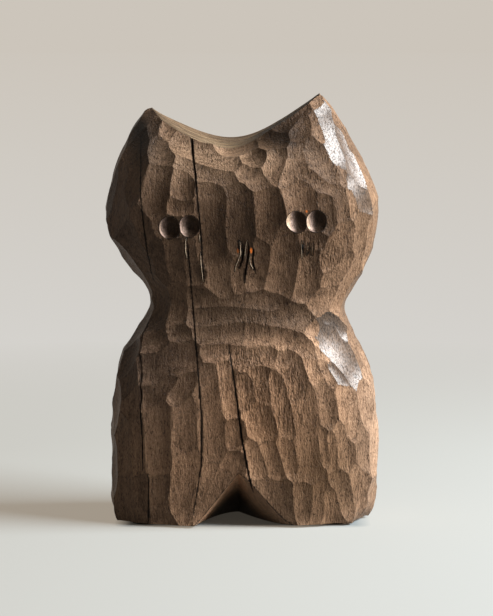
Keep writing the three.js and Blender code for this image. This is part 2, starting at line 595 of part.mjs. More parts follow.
// A solid whose faces point outwards, whichever way round its triangles were listed
function upright(solid, vertices, triangles) {
  return solid.volume() > 0 ? solid : toSolid(vertices, triangles.map(([p, q, r]) => [p, r, q]));
}

// How far the notch reaches in at u across it, -1 at its left edge and 1 at its right edge
function notchShare(u) {
  if (u < 0) return 1 - Math.abs(u) ** NOTCH_LEFT_POWER;
  return Math.sign(1 - u) * Math.abs(1 - u) ** NOTCH_RIGHT_POWER;
}

// The notch: steep on the left, sloping and rounded on the right, deepest at the sole
function notch() {
  const [steps, levels] = [NOTCH_STEPS, NOTCH_LEVELS];
  const meanHeight = (LEFT_EAR_HEIGHT + RIGHT_EAR_HEIGHT) / 2;
  const rows = [];
  for (let j = 0; j <= levels; j += 1) {
    const z = lerp(-NOTCH_BELOW, NOTCH_HEIGHT - NOTCH_PEAK_GAP, j / levels);
    const narrow = 1 - z / NOTCH_HEIGHT;
    const wall = -curve(SIDE_OUTLINE, z / meanHeight);
    const inner = [];
    for (let i = 0; i <= steps; i += 1) {
      const u = lerp(-NOTCH_SPREAD, NOTCH_SPREAD, i / steps);
      const x = NOTCH_X + u * (u < 0 ? NOTCH_LEFT : NOTCH_RIGHT) * narrow;
      const y = wall + NOTCH_DEPTH * narrow ** NOTCH_RISE_POWER * notchShare(u);
      inner.push(new THREE.Vector3(x, y, SOLE + z));
    }
    rows.push(inner);
  }
  const frontY = -(Math.max(...SIDE_OUTLINE.map(([, y]) => y)) + NOTCH_STAND);
  const vertices = [];
  rows.forEach((row) => {
    row.forEach((p) => vertices.push(p));
    row.forEach((p) => vertices.push(new THREE.Vector3(p.x, frontY, p.z)));
  });
  const wide = steps + 1;
  const at = (j, i, outer) => j * 2 * wide + (outer ? wide : 0) + i;
  const triangles = [];
  const quad = (p, q, r, s) => triangles.push([p, q, r], [p, r, s]);
  for (let j = 0; j < levels; j += 1) {
    for (let i = 0; i < steps; i += 1) {
      quad(at(j, i, 0), at(j, i + 1, 0), at(j + 1, i + 1, 0), at(j + 1, i, 0));
      quad(at(j, i + 1, 1), at(j, i, 1), at(j + 1, i, 1), at(j + 1, i + 1, 1));
    }
    quad(at(j, 0, 1), at(j, 0, 0), at(j + 1, 0, 0), at(j + 1, 0, 1));
    quad(at(j, steps, 0), at(j, steps, 1), at(j + 1, steps, 1), at(j + 1, steps, 0));
  }
  for (let i = 0; i < steps; i += 1) {
    quad(at(0, i + 1, 0), at(0, i, 0), at(0, i, 1), at(0, i + 1, 1));
    quad(at(levels, i, 0), at(levels, i + 1, 0), at(levels, i + 1, 1), at(levels, i, 1));
  }
  return upright(toSolid(vertices, triangles), vertices, triangles);
}

// A ball that cuts one round hollow of an eye
function eyeBall([x, z]) {
  const place = onFront(x, z);
  const radius = ((EYE_DIAMETER / 2) ** 2 + EYE_DEPTH ** 2) / (2 * EYE_DEPTH);
  const middle = carved(...place).addScaledVector(normal(...place), radius - EYE_DEPTH);
  const ball = new THREE.SphereGeometry(radius, BALL_COLUMNS, BALL_ROWS);
  return solidOf(ball.translate(middle.x, middle.y, middle.z));
}

// A closed geometry as a solid, with its doubled points merged
function solidOf(geometry) {
  geometry.deleteAttribute("normal");
  geometry.deleteAttribute("uv");
  const merged = mergeVertices(geometry);
  const vertProperties = new Float32Array(merged.getAttribute("position").array);
  const triVerts = new Uint32Array(merged.index.array);
  return new wasm.Manifold(new wasm.Mesh({ numProp: 3, vertProperties, triVerts }));
}

function block() {
  const cutters = [
    notch(),
    ...EYE_HOLLOWS.map(eyeBall),
    ...CRACKS.map((rows) => wedge(rows, CRACK_DEPTH)),
    ...NOSE_SLITS.map((rows) => wedge(rows, NOSE_DEPTH)),
    ...SPLITS.map((rows) => wedge(rows, SPLIT_DEPTH)),
  ];
  const solid = cutters.reduce((body, cutter) => body.subtract(cutter), carvedBlock());
  const mesh = new THREE.Mesh(toGeometry(solid), waxedWood());
  mesh.name = "carved_block";
  return mesh;
}

// A felt pad: side is -1 for the left and 1 for the right, end is -1 for the front and 1 for the back.
function pad(side, end) {
  const edge = side < 0 ? LEFT_OUTLINE[0][1] : RIGHT_OUTLINE[0][1];
  const radius = PAD_DIAMETER / 2;
  const clear = PAD_INSET + radius;
  const disc = new THREE.CylinderGeometry(radius, radius, PAD_THICKNESS, PAD_SIDES);
  const mesh = new THREE.Mesh(disc.rotateX(Math.PI / 2), felt());
  mesh.position.set(side * (edge - clear), end * (SIDE_OUTLINE[0][1] - clear), PAD_THICKNESS / 2);
  mesh.name = `felt_pad_${end < 0 ? "front" : "back"}_${side < 0 ? "left" : "right"}`;
  return mesh;
}

const figurine = new THREE.Group();
figurine.add(block(), pad(-1, -1), pad(1, -1), pad(-1, 1), pad(1, 1));

// The origin is on the floor under the middle of the figurine.
const middle = new THREE.Box3().setFromObject(figurine).getCenter(new THREE.Vector3());
figurine.position.set(-middle.x, -middle.y, 0);

export default figurine;
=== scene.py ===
"""A cat figurine cut from one block of dark waxed wood with a gouge, standing on four felt pads.

Lengths are in millimetres until a mesh is made, and those of the studio are in metres. +Z is up, the face
looks along -Y, and +X is on the right of someone who looks at the face.
"""
import math
from collections import namedtuple

import bpy
import numpy as np
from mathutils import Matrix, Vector


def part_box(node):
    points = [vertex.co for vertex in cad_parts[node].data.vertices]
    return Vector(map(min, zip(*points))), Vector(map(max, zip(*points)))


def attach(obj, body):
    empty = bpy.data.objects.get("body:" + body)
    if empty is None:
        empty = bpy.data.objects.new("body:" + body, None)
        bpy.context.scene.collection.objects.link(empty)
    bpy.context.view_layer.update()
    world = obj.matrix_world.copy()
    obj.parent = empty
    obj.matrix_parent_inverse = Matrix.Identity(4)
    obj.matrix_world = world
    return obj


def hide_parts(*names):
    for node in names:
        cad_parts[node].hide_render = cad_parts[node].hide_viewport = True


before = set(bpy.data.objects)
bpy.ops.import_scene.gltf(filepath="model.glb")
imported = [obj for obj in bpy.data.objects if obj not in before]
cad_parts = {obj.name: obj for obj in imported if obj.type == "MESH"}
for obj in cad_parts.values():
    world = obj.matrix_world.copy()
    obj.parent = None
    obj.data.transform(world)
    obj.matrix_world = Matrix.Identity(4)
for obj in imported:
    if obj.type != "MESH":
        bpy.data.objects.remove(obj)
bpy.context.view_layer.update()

MM = 0.001
BODY = "root"

# The block. Heights run from the sole to the tip of each ear.
LEFT_EAR_HEIGHT = 240
RIGHT_EAR_HEIGHT = 248.5

# Rows of (share of the height, millimetres from the middle plane): the outline seen from the front.
LEFT_OUTLINE = np.array([
    (0, 75), (0.015, 77), (0.045, 78.2), (0.12, 78), (0.244, 77.5), (0.36, 74.4), (0.42, 69),
    (0.475, 61), (0.52, 55.6), (0.55, 56), (0.595, 62.8), (0.655, 73.6), (0.7, 78.8), (0.76, 80.4),
    (0.815, 78), (0.86, 75.4), (0.935, 67), (0.965, 62.8), (0.985, 58.6), (1, 53.5),
])
RIGHT_OUTLINE = np.array([
    (0, 71.5), (0.012, 74.6), (0.03, 77.2), (0.115, 79.6), (0.21, 80), (0.315, 76.8), (0.39, 71),
    (0.445, 64.7), (0.49, 60.3), (0.53, 63.3), (0.58, 70.2), (0.64, 76.6), (0.7, 79.2), (0.76, 79),
    (0.82, 73.4), (0.885, 64.5), (0.945, 56.4), (0.972, 52), (0.988, 49), (1, 45),
])
# Rows of (share of the height, half depth): the outline seen from the side.
SIDE_OUTLINE = np.array([
    (0, 42), (0.04, 43.5), (0.12, 44.5), (0.25, 45), (0.36, 42.5), (0.44, 38.5), (0.51, 35.5),
    (0.58, 37), (0.68, 41), (0.78, 42.5), (0.86, 41), (0.93, 36.5), (1, 27),
])
# Rows of (share of the height, power of the plan): 2 is an ellipse, more is nearer a rectangle.
PLAN_POWER = np.array([(0, 3), (0.8, 3), (0.9, 2.55), (1, 2.1)])

# The saddle between the ears. A start is the share of the height at which a bend sets in.
SADDLE_DROP = 22  # how far its middle lies below the tips
SADDLE_START = 0.6
SADDLE_BEND = 0.5  # a smaller bend makes its middle more pointed
TOP_FALL = 5  # how much lower its front edge is than its back edge, on the left
TOP_FALL_RIGHT = 1
TOP_FALL_EASE = (-0.1, 0.5)  # the places across between which one becomes the other
TOP_FALL_START = 0.86
TOP_FALL_POWER = 12  # a high power keeps the fall off the tips of the ears
BROW_HOLLOW = 7  # how far the forehead and the nape sink in between the ears
BROW_START = 0.78
EAR_LEAN = 6  # how far the ears lean to the front
EAR_LEAN_START = 0.8
TOP_GROOVES = 5
TOP_GROOVE_DEPTH = 0.8
TOP_GROOVE_WANDER = 0.3  # as a share of a groove's width
TOP_GROOVE_BENDS = (7, 3)  # how fast they wander across and from front to back

# The notch that parts the feet, at the front only. It narrows and grows shallow as it rises.
NOTCH_HEIGHT = 31
NOTCH_DEPTH = 44
NOTCH_LEFT = 25  # how far it reaches to the left at the sole
NOTCH_RIGHT = 33
NOTCH_X = -2.5
NOTCH_LEFT_POWER = 1.8  # its left wall is steep
NOTCH_RIGHT_POWER = 1.6  # its right wall is rounded
NOTCH_RISE_POWER = 0.8
NOTCH_BELOW = 3.72  # how far below the sole its cutter starts
NOTCH_PEAK_GAP = 0.465  # how far below the peak of the notch its cutter ends
NOTCH_SPREAD = 1.15  # half width of the cutter as a multiple of the notch's own
NOTCH_STAND = 30  # how far its cutter stands out at the front

# Gouge work. A cut is a hollow of one radius, and its middle lies a little below the block's surface.
GOUGE_RADIUS = 16
GOUGE_DEPTH = 1.0
FLAT_RADIUS = 45  # the wide flat cuts of the flanks
FLAT_DEPTH = 1.7
CUT_OVERRUN = 28  # how far past its ends a cut still shapes the wood
CUT_PROUD = 3  # how far wood that no cut reaches may stand proud
CUT_DEEPEST = 4
# How far the surface faces the same way as a cut, as a cosine: below the first the cut leaves it
# alone, and below the second the cut grows no deeper.
FACING_LEAST = 0.2
SLANT_LEAST = 0.35

# The flanks and the back: a direction is in degrees, 0 on the right flank and 90 at the back.
BACK_FROM = -22
BACK_TO = 202
BACK_CUT_WIDTH = 15
BACK_CUT_LENGTH = 20
BACK_STAGGER = 0.5  # shift of every other row, as a share of a cut's width
BACK_SIDE_PLAY = 0.45  # the span over which a cut strays sideways, as a share of its width
BACK_RISE_PLAY = 0.5  # the same up and down, as a share of its length
BACK_TILT = 0.05  # the span of its tilt, in radians round the block
BACK_HALF_LENGTH = (0.25, 0.4)  # from and to, as shares of a cut's length
BACK_RADIUS = (0.75, 1.2)  # multiples of the flat cut's radius
BACK_DEPTH = (0.9, 1.2)  # multiples of the gouge's depth

# Hollows, cracks, slits and splinters
EYE_DIAMETER = 12.3
EYE_DEPTH = 3.8
CRACK_DEPTH = 7
NOSE_DEPTH = 5
SPLIT_DEPTH = 3
CUTTER_STAND = 3  # how far a cutter stands out of the wood
SPLINTER_RISE = 0.5
SPLINTER_ROOT = 1.5  # how deep a splinter starts in the wood
SPLINTER_SLOPE = 0.4  # how fast it narrows as it rises
# The lines of cracks, slits, splits and splinters
LINE_STEP = 2.5
LINE_STEPS_LEAST = 4
LINE_WANDER = 0.06  # how far one strays to either side
LINE_TAPER = 10  # the length at each end over which it comes back to the line
LINE_THINNEST = 0.8  # as a share of the width given
LINE_WIDTH_PLAY = 0.4  # how much wider than that it grows, as the same share
LINE_DRAWS = (50, 9)  # draws skipped for each letter of its name and each of its rows

# Places of the block's materials in its list
WAXED_SLOT = 0
SHADED_SPLIT_SLOT = 1
SPLINTER_SLOT = 2

# Felt pads
PAD_DIAMETER = 18
PAD_INSET = 10  # from the edge of the sole to the rim of a pad
FELT_RIM = 0.35  # the radius of its rounded edges

# How fine the faces are
COLUMNS = 376
ROWS = 206
TOP_STEPS = 44
NOTCH_STEPS = 48
NOTCH_LEVELS = 32
BALL_COLUMNS = 64
BALL_ROWS = 40
FELT_TURNS = 64
FELT_STEPS = 6
OUTLINE_SAMPLES = 2000
OUTLINE_LEVEL = 0.2  # share of the height at which the level outline is measured
RIDGE_REACH = 0.42  # how far a point may move to a ridge, as a share of a column's width
RIDGE_ANGLE = math.radians(7)  # a steeper fold than this is shaded as an edge
NUDGE = 0.001  # the small step that slopes are measured over
NEARLY_ZERO = 1e-8
PLACING_ROUNDS = 8  # corrections made when a place on the front is looked up
PERCENT = 0.01
SCATTER = (127.1, 311.7, 43758.5453)
# Which repeatable draw sets what
DRAW = {"side": 0, "rise": 1, "length": 2, "tilt": 3, "hollow": 4, "tone": 5, "width": 7, "wander": 8}

# Cuts on the front as (s0, t0, s1, t1, radius, depth), the last two as multiples of the gouge's own.
# s is the place across in percent of the half width, t the place up in percent of the height.
FACE_CUTS = [
    # Left ear and brow
    (-88, 98.6, -84, 97.2, 0.75, 1), (-77, 99.2, -72, 98, 0.75, 1), (-73, 95.2, -63, 90.5, 1.15, 1.3),
    (-57, 97.4, -5, 91.5, 1.05, 1.2), (-43, 90, -8, 85.8, 1.05, 1.2), (-6, 82.2, -2, 81.6, 0.95, 1.1),
    # Left cheek, nose and chin
    (-61, 86.5, -63, 77.5, 1.25, 1.4), (-43, 86.3, -42, 81, 1, 1.1), (-47, 77.5, -39, 77.3, 0.9, 0.9),
    (-21, 80.5, -26.5, 65, 1.5, 2), (-1, 79, -3, 67, 1.5, 1.4), (-73, 74, -72, 68, 1.8, 0.2),
    (-56, 72, -40, 72, 1.6, 0.4), (-68, 66.5, -76, 60, 2, 0.25), (-53, 67, -61, 61, 2, 0.2),
    (-38, 67.5, -46, 61, 2, 0.25), (-20, 63.3, -28, 57, 1.8, 0.6), (-12, 62, -12, 58, 1.4, 0.4),
    # Right brow and ear
    (-6, 98.8, 18, 99.4, 0.85, 0.9), (15, 93.6, 18, 91.8, 0.75, 1.3), (8, 87.5, 18, 84.5, 1, 1.2),
    (38, 91, 27, 86, 0.95, 1.1), (30, 99, 44, 95.5, 1, 1), (53, 99.8, 76, 100.2, 0.95, 1.3),
    (71, 97.5, 61, 95, 0.9, 1.3), (57, 91.8, 42, 84, 1.1, 1.3), (80, 97, 78.5, 92.5, 0.9, 1),
    (91, 99.3, 88, 97.5, 0.8, 1), (66, 90, 72, 83, 1.25, 1.8), (80, 84.5, 78.5, 81, 0.8, 1),
    (50, 83.5, 68, 79.5, 0.95, 1.2), (72, 79, 73, 72.5, 0.9, 1), (80, 77.5, 81, 73, 0.8, 0.9),
    (45, 80.5, 47, 73, 1.35, 2), (60, 76.5, 60, 72, 1.1, 1.4), (18.5, 79, 18.5, 69.3, 1.15, 1.3),
    # Right cheek
    (30, 68, 25, 57, 1.4, 1.6), (10.5, 66, 3, 58.5, 1.15, 1.1), (45, 68, 52, 67, 1, 1),
    (48, 63, 50.5, 55, 1.1, 1.1), (75, 69, 65, 62.5, 1.1, 1.4), (80.5, 61.3, 72, 57, 0.9, 1.1),
    (76.5, 54, 66.5, 51.5, 1, 1.1), (90.5, 62.3, 88, 52.3, 1.3, 1.3), (86.5, 71.3, 88.5, 65, 1.2, 1.3),
    (94.5, 68.5, 96, 62, 1.2, 1.3),
    # Neck
    (-52, 54, 24, 53.3, 1, 1.1), (-45, 49.7, 58, 49, 1, 1.1), (-70, 55.5, -68, 50.5, 1.6, 0.5),
    (-37, 45.2, -3, 45.4, 0.9, 1.1), (5, 45, 38, 43.2, 0.9, 1.1), (-60, 45.8, -50, 44.6, 0.8, 0.8),
    (40, 43, 58, 40, 0.75, 1), (66, 45.6, 80, 45.2, 0.8, 0.9), (68, 42.7, 73.5, 41.4, 0.6, 1),
    (63, 40.4, 70.5, 39, 0.6, 1),
    # Belly and right leg
    (-2, 39.8, 20.5, 40.5, 0.95, 1.2), (38, 39, 41, 31.5, 1.3, 1.6), (44, 30, 48.5, 13, 2.2, 1.3),
    (55, 38.6, 58.5, 34.5, 0.85, 1), (64.5, 38, 67, 33.8, 0.65, 1), (60.5, 33, 61, 25, 0.95, 1.1),
    (77, 31, 78, 22, 1.15, 1.3), (26, 34, 32, 22.5, 0.95, 1.1), (1.5, 33.5, 3, 29, 0.85, 1),
    (13, 36, 14, 30, 0.85, 0.9), (9, 27.3, 14.5, 22, 1.3, 1.4), (16, 19, 22.5, 12.7, 0.9, 1.1),
    (29, 19.5, 34, 14, 0.85, 0.9), (5, 18.5, 11.5, 13, 0.9, 1), (18, 9.5, 28, 2.5, 3, 0.7),
    (45, 8.5, 46, 3, 0.9, 1.1), (55, 9, 56, 2.5, 1.4, 0.6), (55.5, 22, 59.5, 15, 0.6, 0.9),
    (63.5, 20.5, 65.5, 13.5, 0.6, 0.9), (71, 22, 74, 14.5, 1, 1.2), (64, 6.5, 68, 1.5, 0.9, 1),
    (69, 11.5, 78, 4.5, 1, 1.1), (82.5, 12, 86, 6, 0.9, 1), (86, 5.5, 93, 1, 1, 1),
    (86, 22, 87, 14.5, 0.9, 1), (95, 42, 95, 37, 1.2, 1.3), (91, 32, 91.5, 24, 1.2, 1.4),
    # Left hip and leg
    (-80, 45, -72, 43.5, 1.4, 0.5), (-38, 41, -12, 41.2, 0.75, 0.9), (-46, 40.3, -68, 36.9, 1.7, 2.3),
    (-57, 35.2, -70, 31, 0.95, 1.5), (-42.5, 35.2, -50, 31.8, 1, 1.2), (-65, 27, -64.5, 15, 2.6, 0.55),
    (-42, 28.3, -43.5, 19, 2.2, 0.35), (-29, 36, -23, 17.5, 2.6, 0.5), (-40, 15.5, -46, 5, 1.9, 0.8),
    (-24, 13.5, -33.5, 5.5, 1.6, 0.4), (-12.5, 37.5, -9.5, 28, 1.2, 0.5), (-7, 23.5, -7.5, 20, 0.85, 0.8),
    (-7.5, 15.5, -25, 3, 0.95, 1.3), (-62, 10, -60.5, 2.5, 2.2, 0.3), (-80, 23, -78.5, 14, 1.4, 0.5),
    (-75.5, 10, -75.5, 2.5, 1.6, 0.3), (-89, 22.5, -87, 13, 1.8, 0.6), (-87, 9, -86, 2.5, 1.8, 0.6),
    (-93.5, 42, -92.5, 37.5, 1.1, 1.2), (-88, 35.5, -88, 33, 1.6, 0.5), (-84, 30.5, -83.5, 27, 1.4, 0.5),
]
# Cuts whose wax is rubbed to a shine, on the right ear and the right hip
POLISHED_CUTS = [
    (89.5, 96, 84, 87, 2.4, 1.7), (93.5, 91, 90, 82, 2.4, 1.7), (84.5, 80.5, 88, 74.5, 1.6, 1.2),
    (80, 46.5, 88, 43.8, 1, 1.1), (78, 42.4, 87, 36.5, 3, 2.4), (72, 37.2, 79, 33.6, 0.85, 1.2),
]
# The wide cuts of the two front corners, as multiples of the flat cut's radius and depth
FLANK_CUTS = [
    (-96, 97, -92, 93, 0.65, 0.7), (-90, 94, -88, 89, 1, 1), (-84, 87, -85, 82, 1, 1),
    (-91, 84, -91, 74, 1.2, 1.1), (-86, 70, -85, 63, 0.8, 0.9), (-88, 58, -86, 50, 0.7, 0.8),
    (96, 94, 95, 88, 0.65, 0.7), (97, 84, 97, 76, 0.7, 0.8),
]

# Places on the front from here on are (x, z) in millimetres.
EYE_HOLLOWS = [(-42, 173.8), (-30.4, 174.7), (31.3, 177.2), (42.2, 177.5)]

# Cracks as rows of (x, z, width), from one pointed end to the other
CRACKS = [
    [(-59.7, 226, 0), (-59.3, 214, 0.25), (-59, 205.5, 0.35), (-58.6, 195.5, 0.4), (-58, 185.5, 0.45),
     (-57, 174, 0.55), (-56.2, 168, 0.6), (-55.2, 160.5, 0.6), (-54, 150.5, 0.5), (-52.5, 141.5, 0)],
    [(-55, 119.5, 0), (-56, 114, 0.45), (-58, 108, 0.45), (-58.5, 99.5, 0.55), (-58.6, 86.5, 0.8),
     (-58.9, 70.5, 0.9), (-58.3, 53, 0.8), (-58.1, 40.5, 0.5), (-58, 33, 0)],
    [(-54.7, 31.5, 0), (-54.5, 25.5, 0.45), (-54.6, 15.5, 0.5), (-54.8, 3, 0.45), (-54.8, -4, 0)],
    [(-31, 233, 0), (-30.3, 228, 0.5), (-29.7, 225, 0.85), (-29.1, 221, 1.1), (-27.3, 205.5, 1.05),
     (-26.6, 197, 0.95), (-26.2, 192, 0.8), (-25.8, 186.5, 0.75), (-25, 180.5, 0.75), (-24.4, 172, 0.55),
     (-24, 166.5, 0.5), (-23.6, 160.5, 0.5), (-23.3, 155, 0.45), (-22.7, 149, 0.5), (-22.4, 145.5, 0.4),
     (-21.9, 142.5, 0)],
    [(-32.1, 168, 0), (-31.8, 164.5, 0.45), (-31.4, 161, 0.8), (-31.1, 155, 0.5), (-30.5, 149, 0.5),
     (-29.9, 143.5, 0.55), (-29.6, 137.5, 0.55), (-29.5, 132, 0.55), (-29, 127.5, 0.6), (-28.5, 121.5, 0.6),
     (-27.9, 115.5, 0.65), (-27.3, 106.5, 0.6), (-26, 93, 0.5), (-24.8, 78, 0.55), (-23.6, 63, 0.6),
     (-23.8, 48, 0.5), (-24, 37, 0.45), (-26, 24.5, 0.4), (-28.7, 8, 0)],
    [(-8.3, 106, 0), (-6.8, 96.5, 0.45), (-5, 84.5, 0.55), (-3.2, 71.5, 0.7), (-1.6, 59.5, 0.85),
     (0.3, 47, 0.95), (2.7, 34.5, 0.95), (5.2, 23, 0.75), (6.5, 19, 0)],
]
# The nose is four slits that part downwards.
NOSE_SLITS = [
    [(-2.5, 167, 0), (-2.5, 163, 0.44), (-2.9, 159.5, 0)],
    [(-0.8, 166, 0), (0.1, 160.5, 1.04), (-0.2, 156.5, 1.1), (-1.1, 153, 1.04), (-2.4, 150, 0)],
    [(3, 165.5, 0), (3.4, 160.5, 0.99), (3, 157.5, 1.1), (2.3, 153.5, 1.21), (1.7, 150, 1.21),
     (1.1, 145.5, 0.99), (0.9, 142, 0)],
    [(5.2, 165, 0), (6.2, 160.5, 1.21), (5.6, 156, 0.99), (5.7, 152.5, 0.88), (7, 149, 0.99),
     (7.4, 147, 0)],
]
# Short splits under the right eyes
SPLITS = [
    [(34.6, 166, 0), (34.5, 161, 0.2), (34.8, 157, 0)],
    [(38.2, 165.5, 0), (38.1, 161.5, 0.28), (37.5, 158, 0)],
    [(40.5, 165.5, 0), (40.5, 161, 0.2), (40.3, 157, 0)],
]
# Pale splinters that stand up beside the slits, the cracks and the eyes
SPLINTERS = [
    [(-1.7, 166.5, 0), (-1.5, 162, 0.72), (-1.3, 158.5, 0.96), (-2.9, 154.5, 1.08), (-4.3, 151, 1.02),
     (-4.7, 148, 0)],
    [(2.5, 167, 0), (1.8, 164, 0.78), (1.3, 160.5, 0.6), (1, 156.5, 0)],
    [(3.9, 157.5, 0), (4, 153.5, 0.54), (5.3, 150.8, 0.6), (6, 149, 0)],
    [(-32.6, 168.5, 0), (-32.8, 164, 0.54), (-32.9, 160, 0.66), (-31.9, 156, 0)],
    [(-24.9, 170.5, 0), (-24.9, 167.5, 0.6), (-24.6, 165, 0)],
    [(-24.4, 160, 0), (-24.4, 155.5, 0.54), (-23.7, 150, 0.54), (-23.2, 145, 0.66), (-22.7, 142.5, 0)],
    [(33.5, 166.5, 0), (33.5, 161.5, 0.8), (33.7, 157.5, 0.7), (34, 155.5, 0)],
    [(37.1, 165, 0), (36.9, 161, 0.75), (36.6, 157, 0)],
    [(39.7, 164.5, 0), (39.7, 160.5, 0.6), (39.7, 157, 0)],
]

# Flecks of orange resin, as (x, z, half width, half height, strength)
FLECKS = [(4.7, 160.7, 0.65, 1.5, 1), (36.4, 183.1, 0.6, 0.7, 0.8), (-2.9, 160.5, 0.6, 1.2, 0.4)]
FLECK_Y = -38  # they lie about here, and reach so far in and out that they show on the front alone
FLECK_REACH = 60
# Spots where the staining is darker, lighter or warmer, and spots of painted light and shade: the right
# flank and the brow, which face the lamp, are painted paler, and the left side of the head and the hollow
# under the right rim of the top are painted darker. Each as (x, z, half width, half height, and the shares
# of red, green and blue that are kept there)
STAIN_AND_SHADING_SPOTS = [
    (-4, 172, 60, 36, 0.42, 0.4, 0.38), (-74, 180, 20, 50, 0.62, 0.63, 0.68),
    (-42, 34, 40, 44, 1.12, 1.08, 1.04), (12, 70, 34, 34, 1.34, 1.25, 1.15),
    (45, 30, 30, 34, 0.6, 0.57, 0.51), (78, 168, 22, 60, 1.05, 1.06, 1.05),
    (84, 60, 18, 70, 1.75, 1.88, 2.08), (-62, 95, 28, 32, 0.68, 0.7, 0.75),
    (-16, 215, 44, 15, 1.65, 1.75, 1.8), (38, 179, 20, 22, 0.62, 0.6, 0.58),
    (15, 227, 20, 9, 0.36, 0.34, 0.31), (32, 238, 13, 10, 0.28, 0.26, 0.24),
    (24, 224, 16, 12, 0.2, 0.19, 0.19), (-58, 226, 14, 20, 0.1, 0.105, 0.12),
    (36, 108, 20, 6, 1.6, 1.62, 1.65), (50, 100, 8, 8, 1.6, 1.65, 1.7),
    (-38, 98, 24, 10, 0.8, 0.8, 0.82), (0, 120, 60, 16, 0.68, 0.69, 0.7),
]
# Cuts where the gouge ran against the grain and tore it, as (x, z, half width, half height)
TORN_SPOTS = [(2, 97, 16, 6), (7, 82, 13, 8), (18, 66, 18, 8), (28, 86, 8, 12), (40, 160, 14, 12)]
STORED_MOST = 4.0  # what is stored on the mesh for the material stops here
EVEN_TONE = 0.5  # the tone of faces that no cut of the gouge left

# Painted light and shade in the notch: its walls are painted pale at the mouth, the left one, which faces
# the lamp, the paler, and painted dark as shade where they meet.
NOTCH_MOUTH = 37  # how far in front of the middle plane it opens
NOTCH_SHADE_DEPTH = 22  # how deep inside it is wholly dark
NOTCH_PAINTED_LIGHT_LEFT = 3.2
NOTCH_PAINTED_LIGHT_RIGHT = 1.2
NOTCH_TURN = 8  # the half width over which one becomes the other
NOTCH_PAINTED_SHADE = 0.12
# Painted light and shade in the eye hollows: the left wall of each, which faces the lamp, is painted pale,
# and the rest is painted dark as its shade.
EYE_PAINTED_SHADE = 0.35
EYE_PAINTED_LIGHT_LEFT = (4.3, 5.2, 7.2)
EYE_PAINTED_LIGHT_RIGHT = (6.8, 8.6, 12.6)
EYE_PAINTED_LIGHT_EASE = (0.3, 5)  # the places left of the middle between which one becomes the other

# Colours
WOOD_DARK = (0.125, 0.071, 0.04, 1)
WOOD_PALE = (0.4, 0.245, 0.148, 1)
PORE_COLOUR = (0.05, 0.03, 0.02, 1)
SPECK_COLOUR = (0.62, 0.42, 0.27, 1)
STREAK_DARK = (0.065, 0.04, 0.022, 1)
STREAK_PALE = (0.37, 0.25, 0.148, 1)
PIT_COLOUR = (0.07, 0.035, 0.018, 1)
RESIN_COLOUR = (0.9, 0.22, 0.03, 1)
# The inside of cracks and slits is painted near black as painted shade
SPLIT_SHADE_COLOURS = (0.02, 0.012, 0.008, 1), (0.09, 0.055, 0.035, 1)
SPLINTER_COLOURS = (0.5, 0.36, 0.23, 1), (0.8, 0.64, 0.46, 1)
FELT_COLOURS = (0.008, 0.007, 0.006, 1), (0.045, 0.039, 0.033, 1)

# Noises as (scales along x, y and z per metre, detail, roughness). The grain of the wood is upright.
FIBRES = ((620, 620, 120), 3, 0.5)
FINE_FIBRES = ((1500, 1500, 700), 2, 0.7)
PORES = ((1300, 1300, 480), 1, 0.5)
BROAD_TONE = ((30, 30, 14), 4, 0.6)
RAGS = ((480, 480, 110), 3, 0.65)
TOP_STREAKS = ((60, 900, 60), 3, 0.7)
FUZZ = ((3500, 3500, 3500), 3, 0.7)
CLUMPS = ((500, 500, 500), 2, 0.5)
# The growth layers are rings round a pith behind the block.
PITH_SHIFT = (0.02, -0.11, 0)
PITH_STRETCH = (1, 1, 0.12)
LAYERS = {"Scale": 150, "Distortion": 5, "Detail": 2, "Detail Scale": 0.5}

# Strengths in the materials. A range holds the values at which an effect sets in and is complete.
TONE_SHARES = (0.9, 1.1, 0.16, 0.8)  # of the fibres, the fine fibres, the layers and the broad tone
TONE_RANGE = (1.12, 1.83)
PORE_RANGE = (0.6, 0.7)
PORE_SHARE = 0.6
SPECK_RANGE = (0.4, 0.28)
SPECK_SHARE = 0.3
STREAK_RANGE = (0.3, 0.7)
RAG_RANGE = (0.42, 0.62)
PIT_SHARE = 0.35
CUT_TONES = (0.7, 1.24)  # shares of the colour kept in the darkest and the palest cut
# On a ridge the colour is darkened as painted shade, a thin line along each ridge between cuts
RIDGE_PAINTED_SHADES = (0.86, 1.03)  # on a ridge, and RIDGE_WIDTH away from it in depth
RIDGE_WIDTH = 0.5
POLISHED_TONE = 0.5
FILM_RANGE = (0.38, 0.55)
FILM_LEAST = 0.2
COAT_LEAST = 0.02
FLECK_RANGE = (1.3, 0.7)
ROUGH_RANGE = (0.3, 0.7)
WOOD_ROUGHNESS = (0.36, 0.5)
FELT_SHARES = (0.6, 0.6)  # of the fuzz and the clumps in the colour
# Relief: shares of the fibres, the fine fibres and the pores, then of torn fibres, and heights in metres
RELIEF_SHARES = (1, 0.9, -0.5)
TORN_RELIEF = 2.2
WOOD_RELIEF = 0.0007
FELT_RELIEF = 0.0002

# The studio
FLOOR_RADIUS = 60
FLOOR_TURNS = 96
FADE_LENGTH = 1.5  # nearness is 1 at the figurine and a half at this distance
MIDDLE_NEARNESS = 0.6  # where the floor has the tone MIDDLE_PALE
FULL_NEARNESS = 0.9  # from where it has the tone NEAR_PALE
LIT_RANGE = (0.3, 0.9)  # the distances between which lit floor gives way to those plain tones
FLOOR_LIT = (0.28, 0.325, 0.343, 1)
FLOOR_BOUNCE = (0.35, 0.3, 0.24, 1)
FLOOR_UNSEEN = (0.2, 0.2, 0.2, 1)  # what it throws back onto the figurine
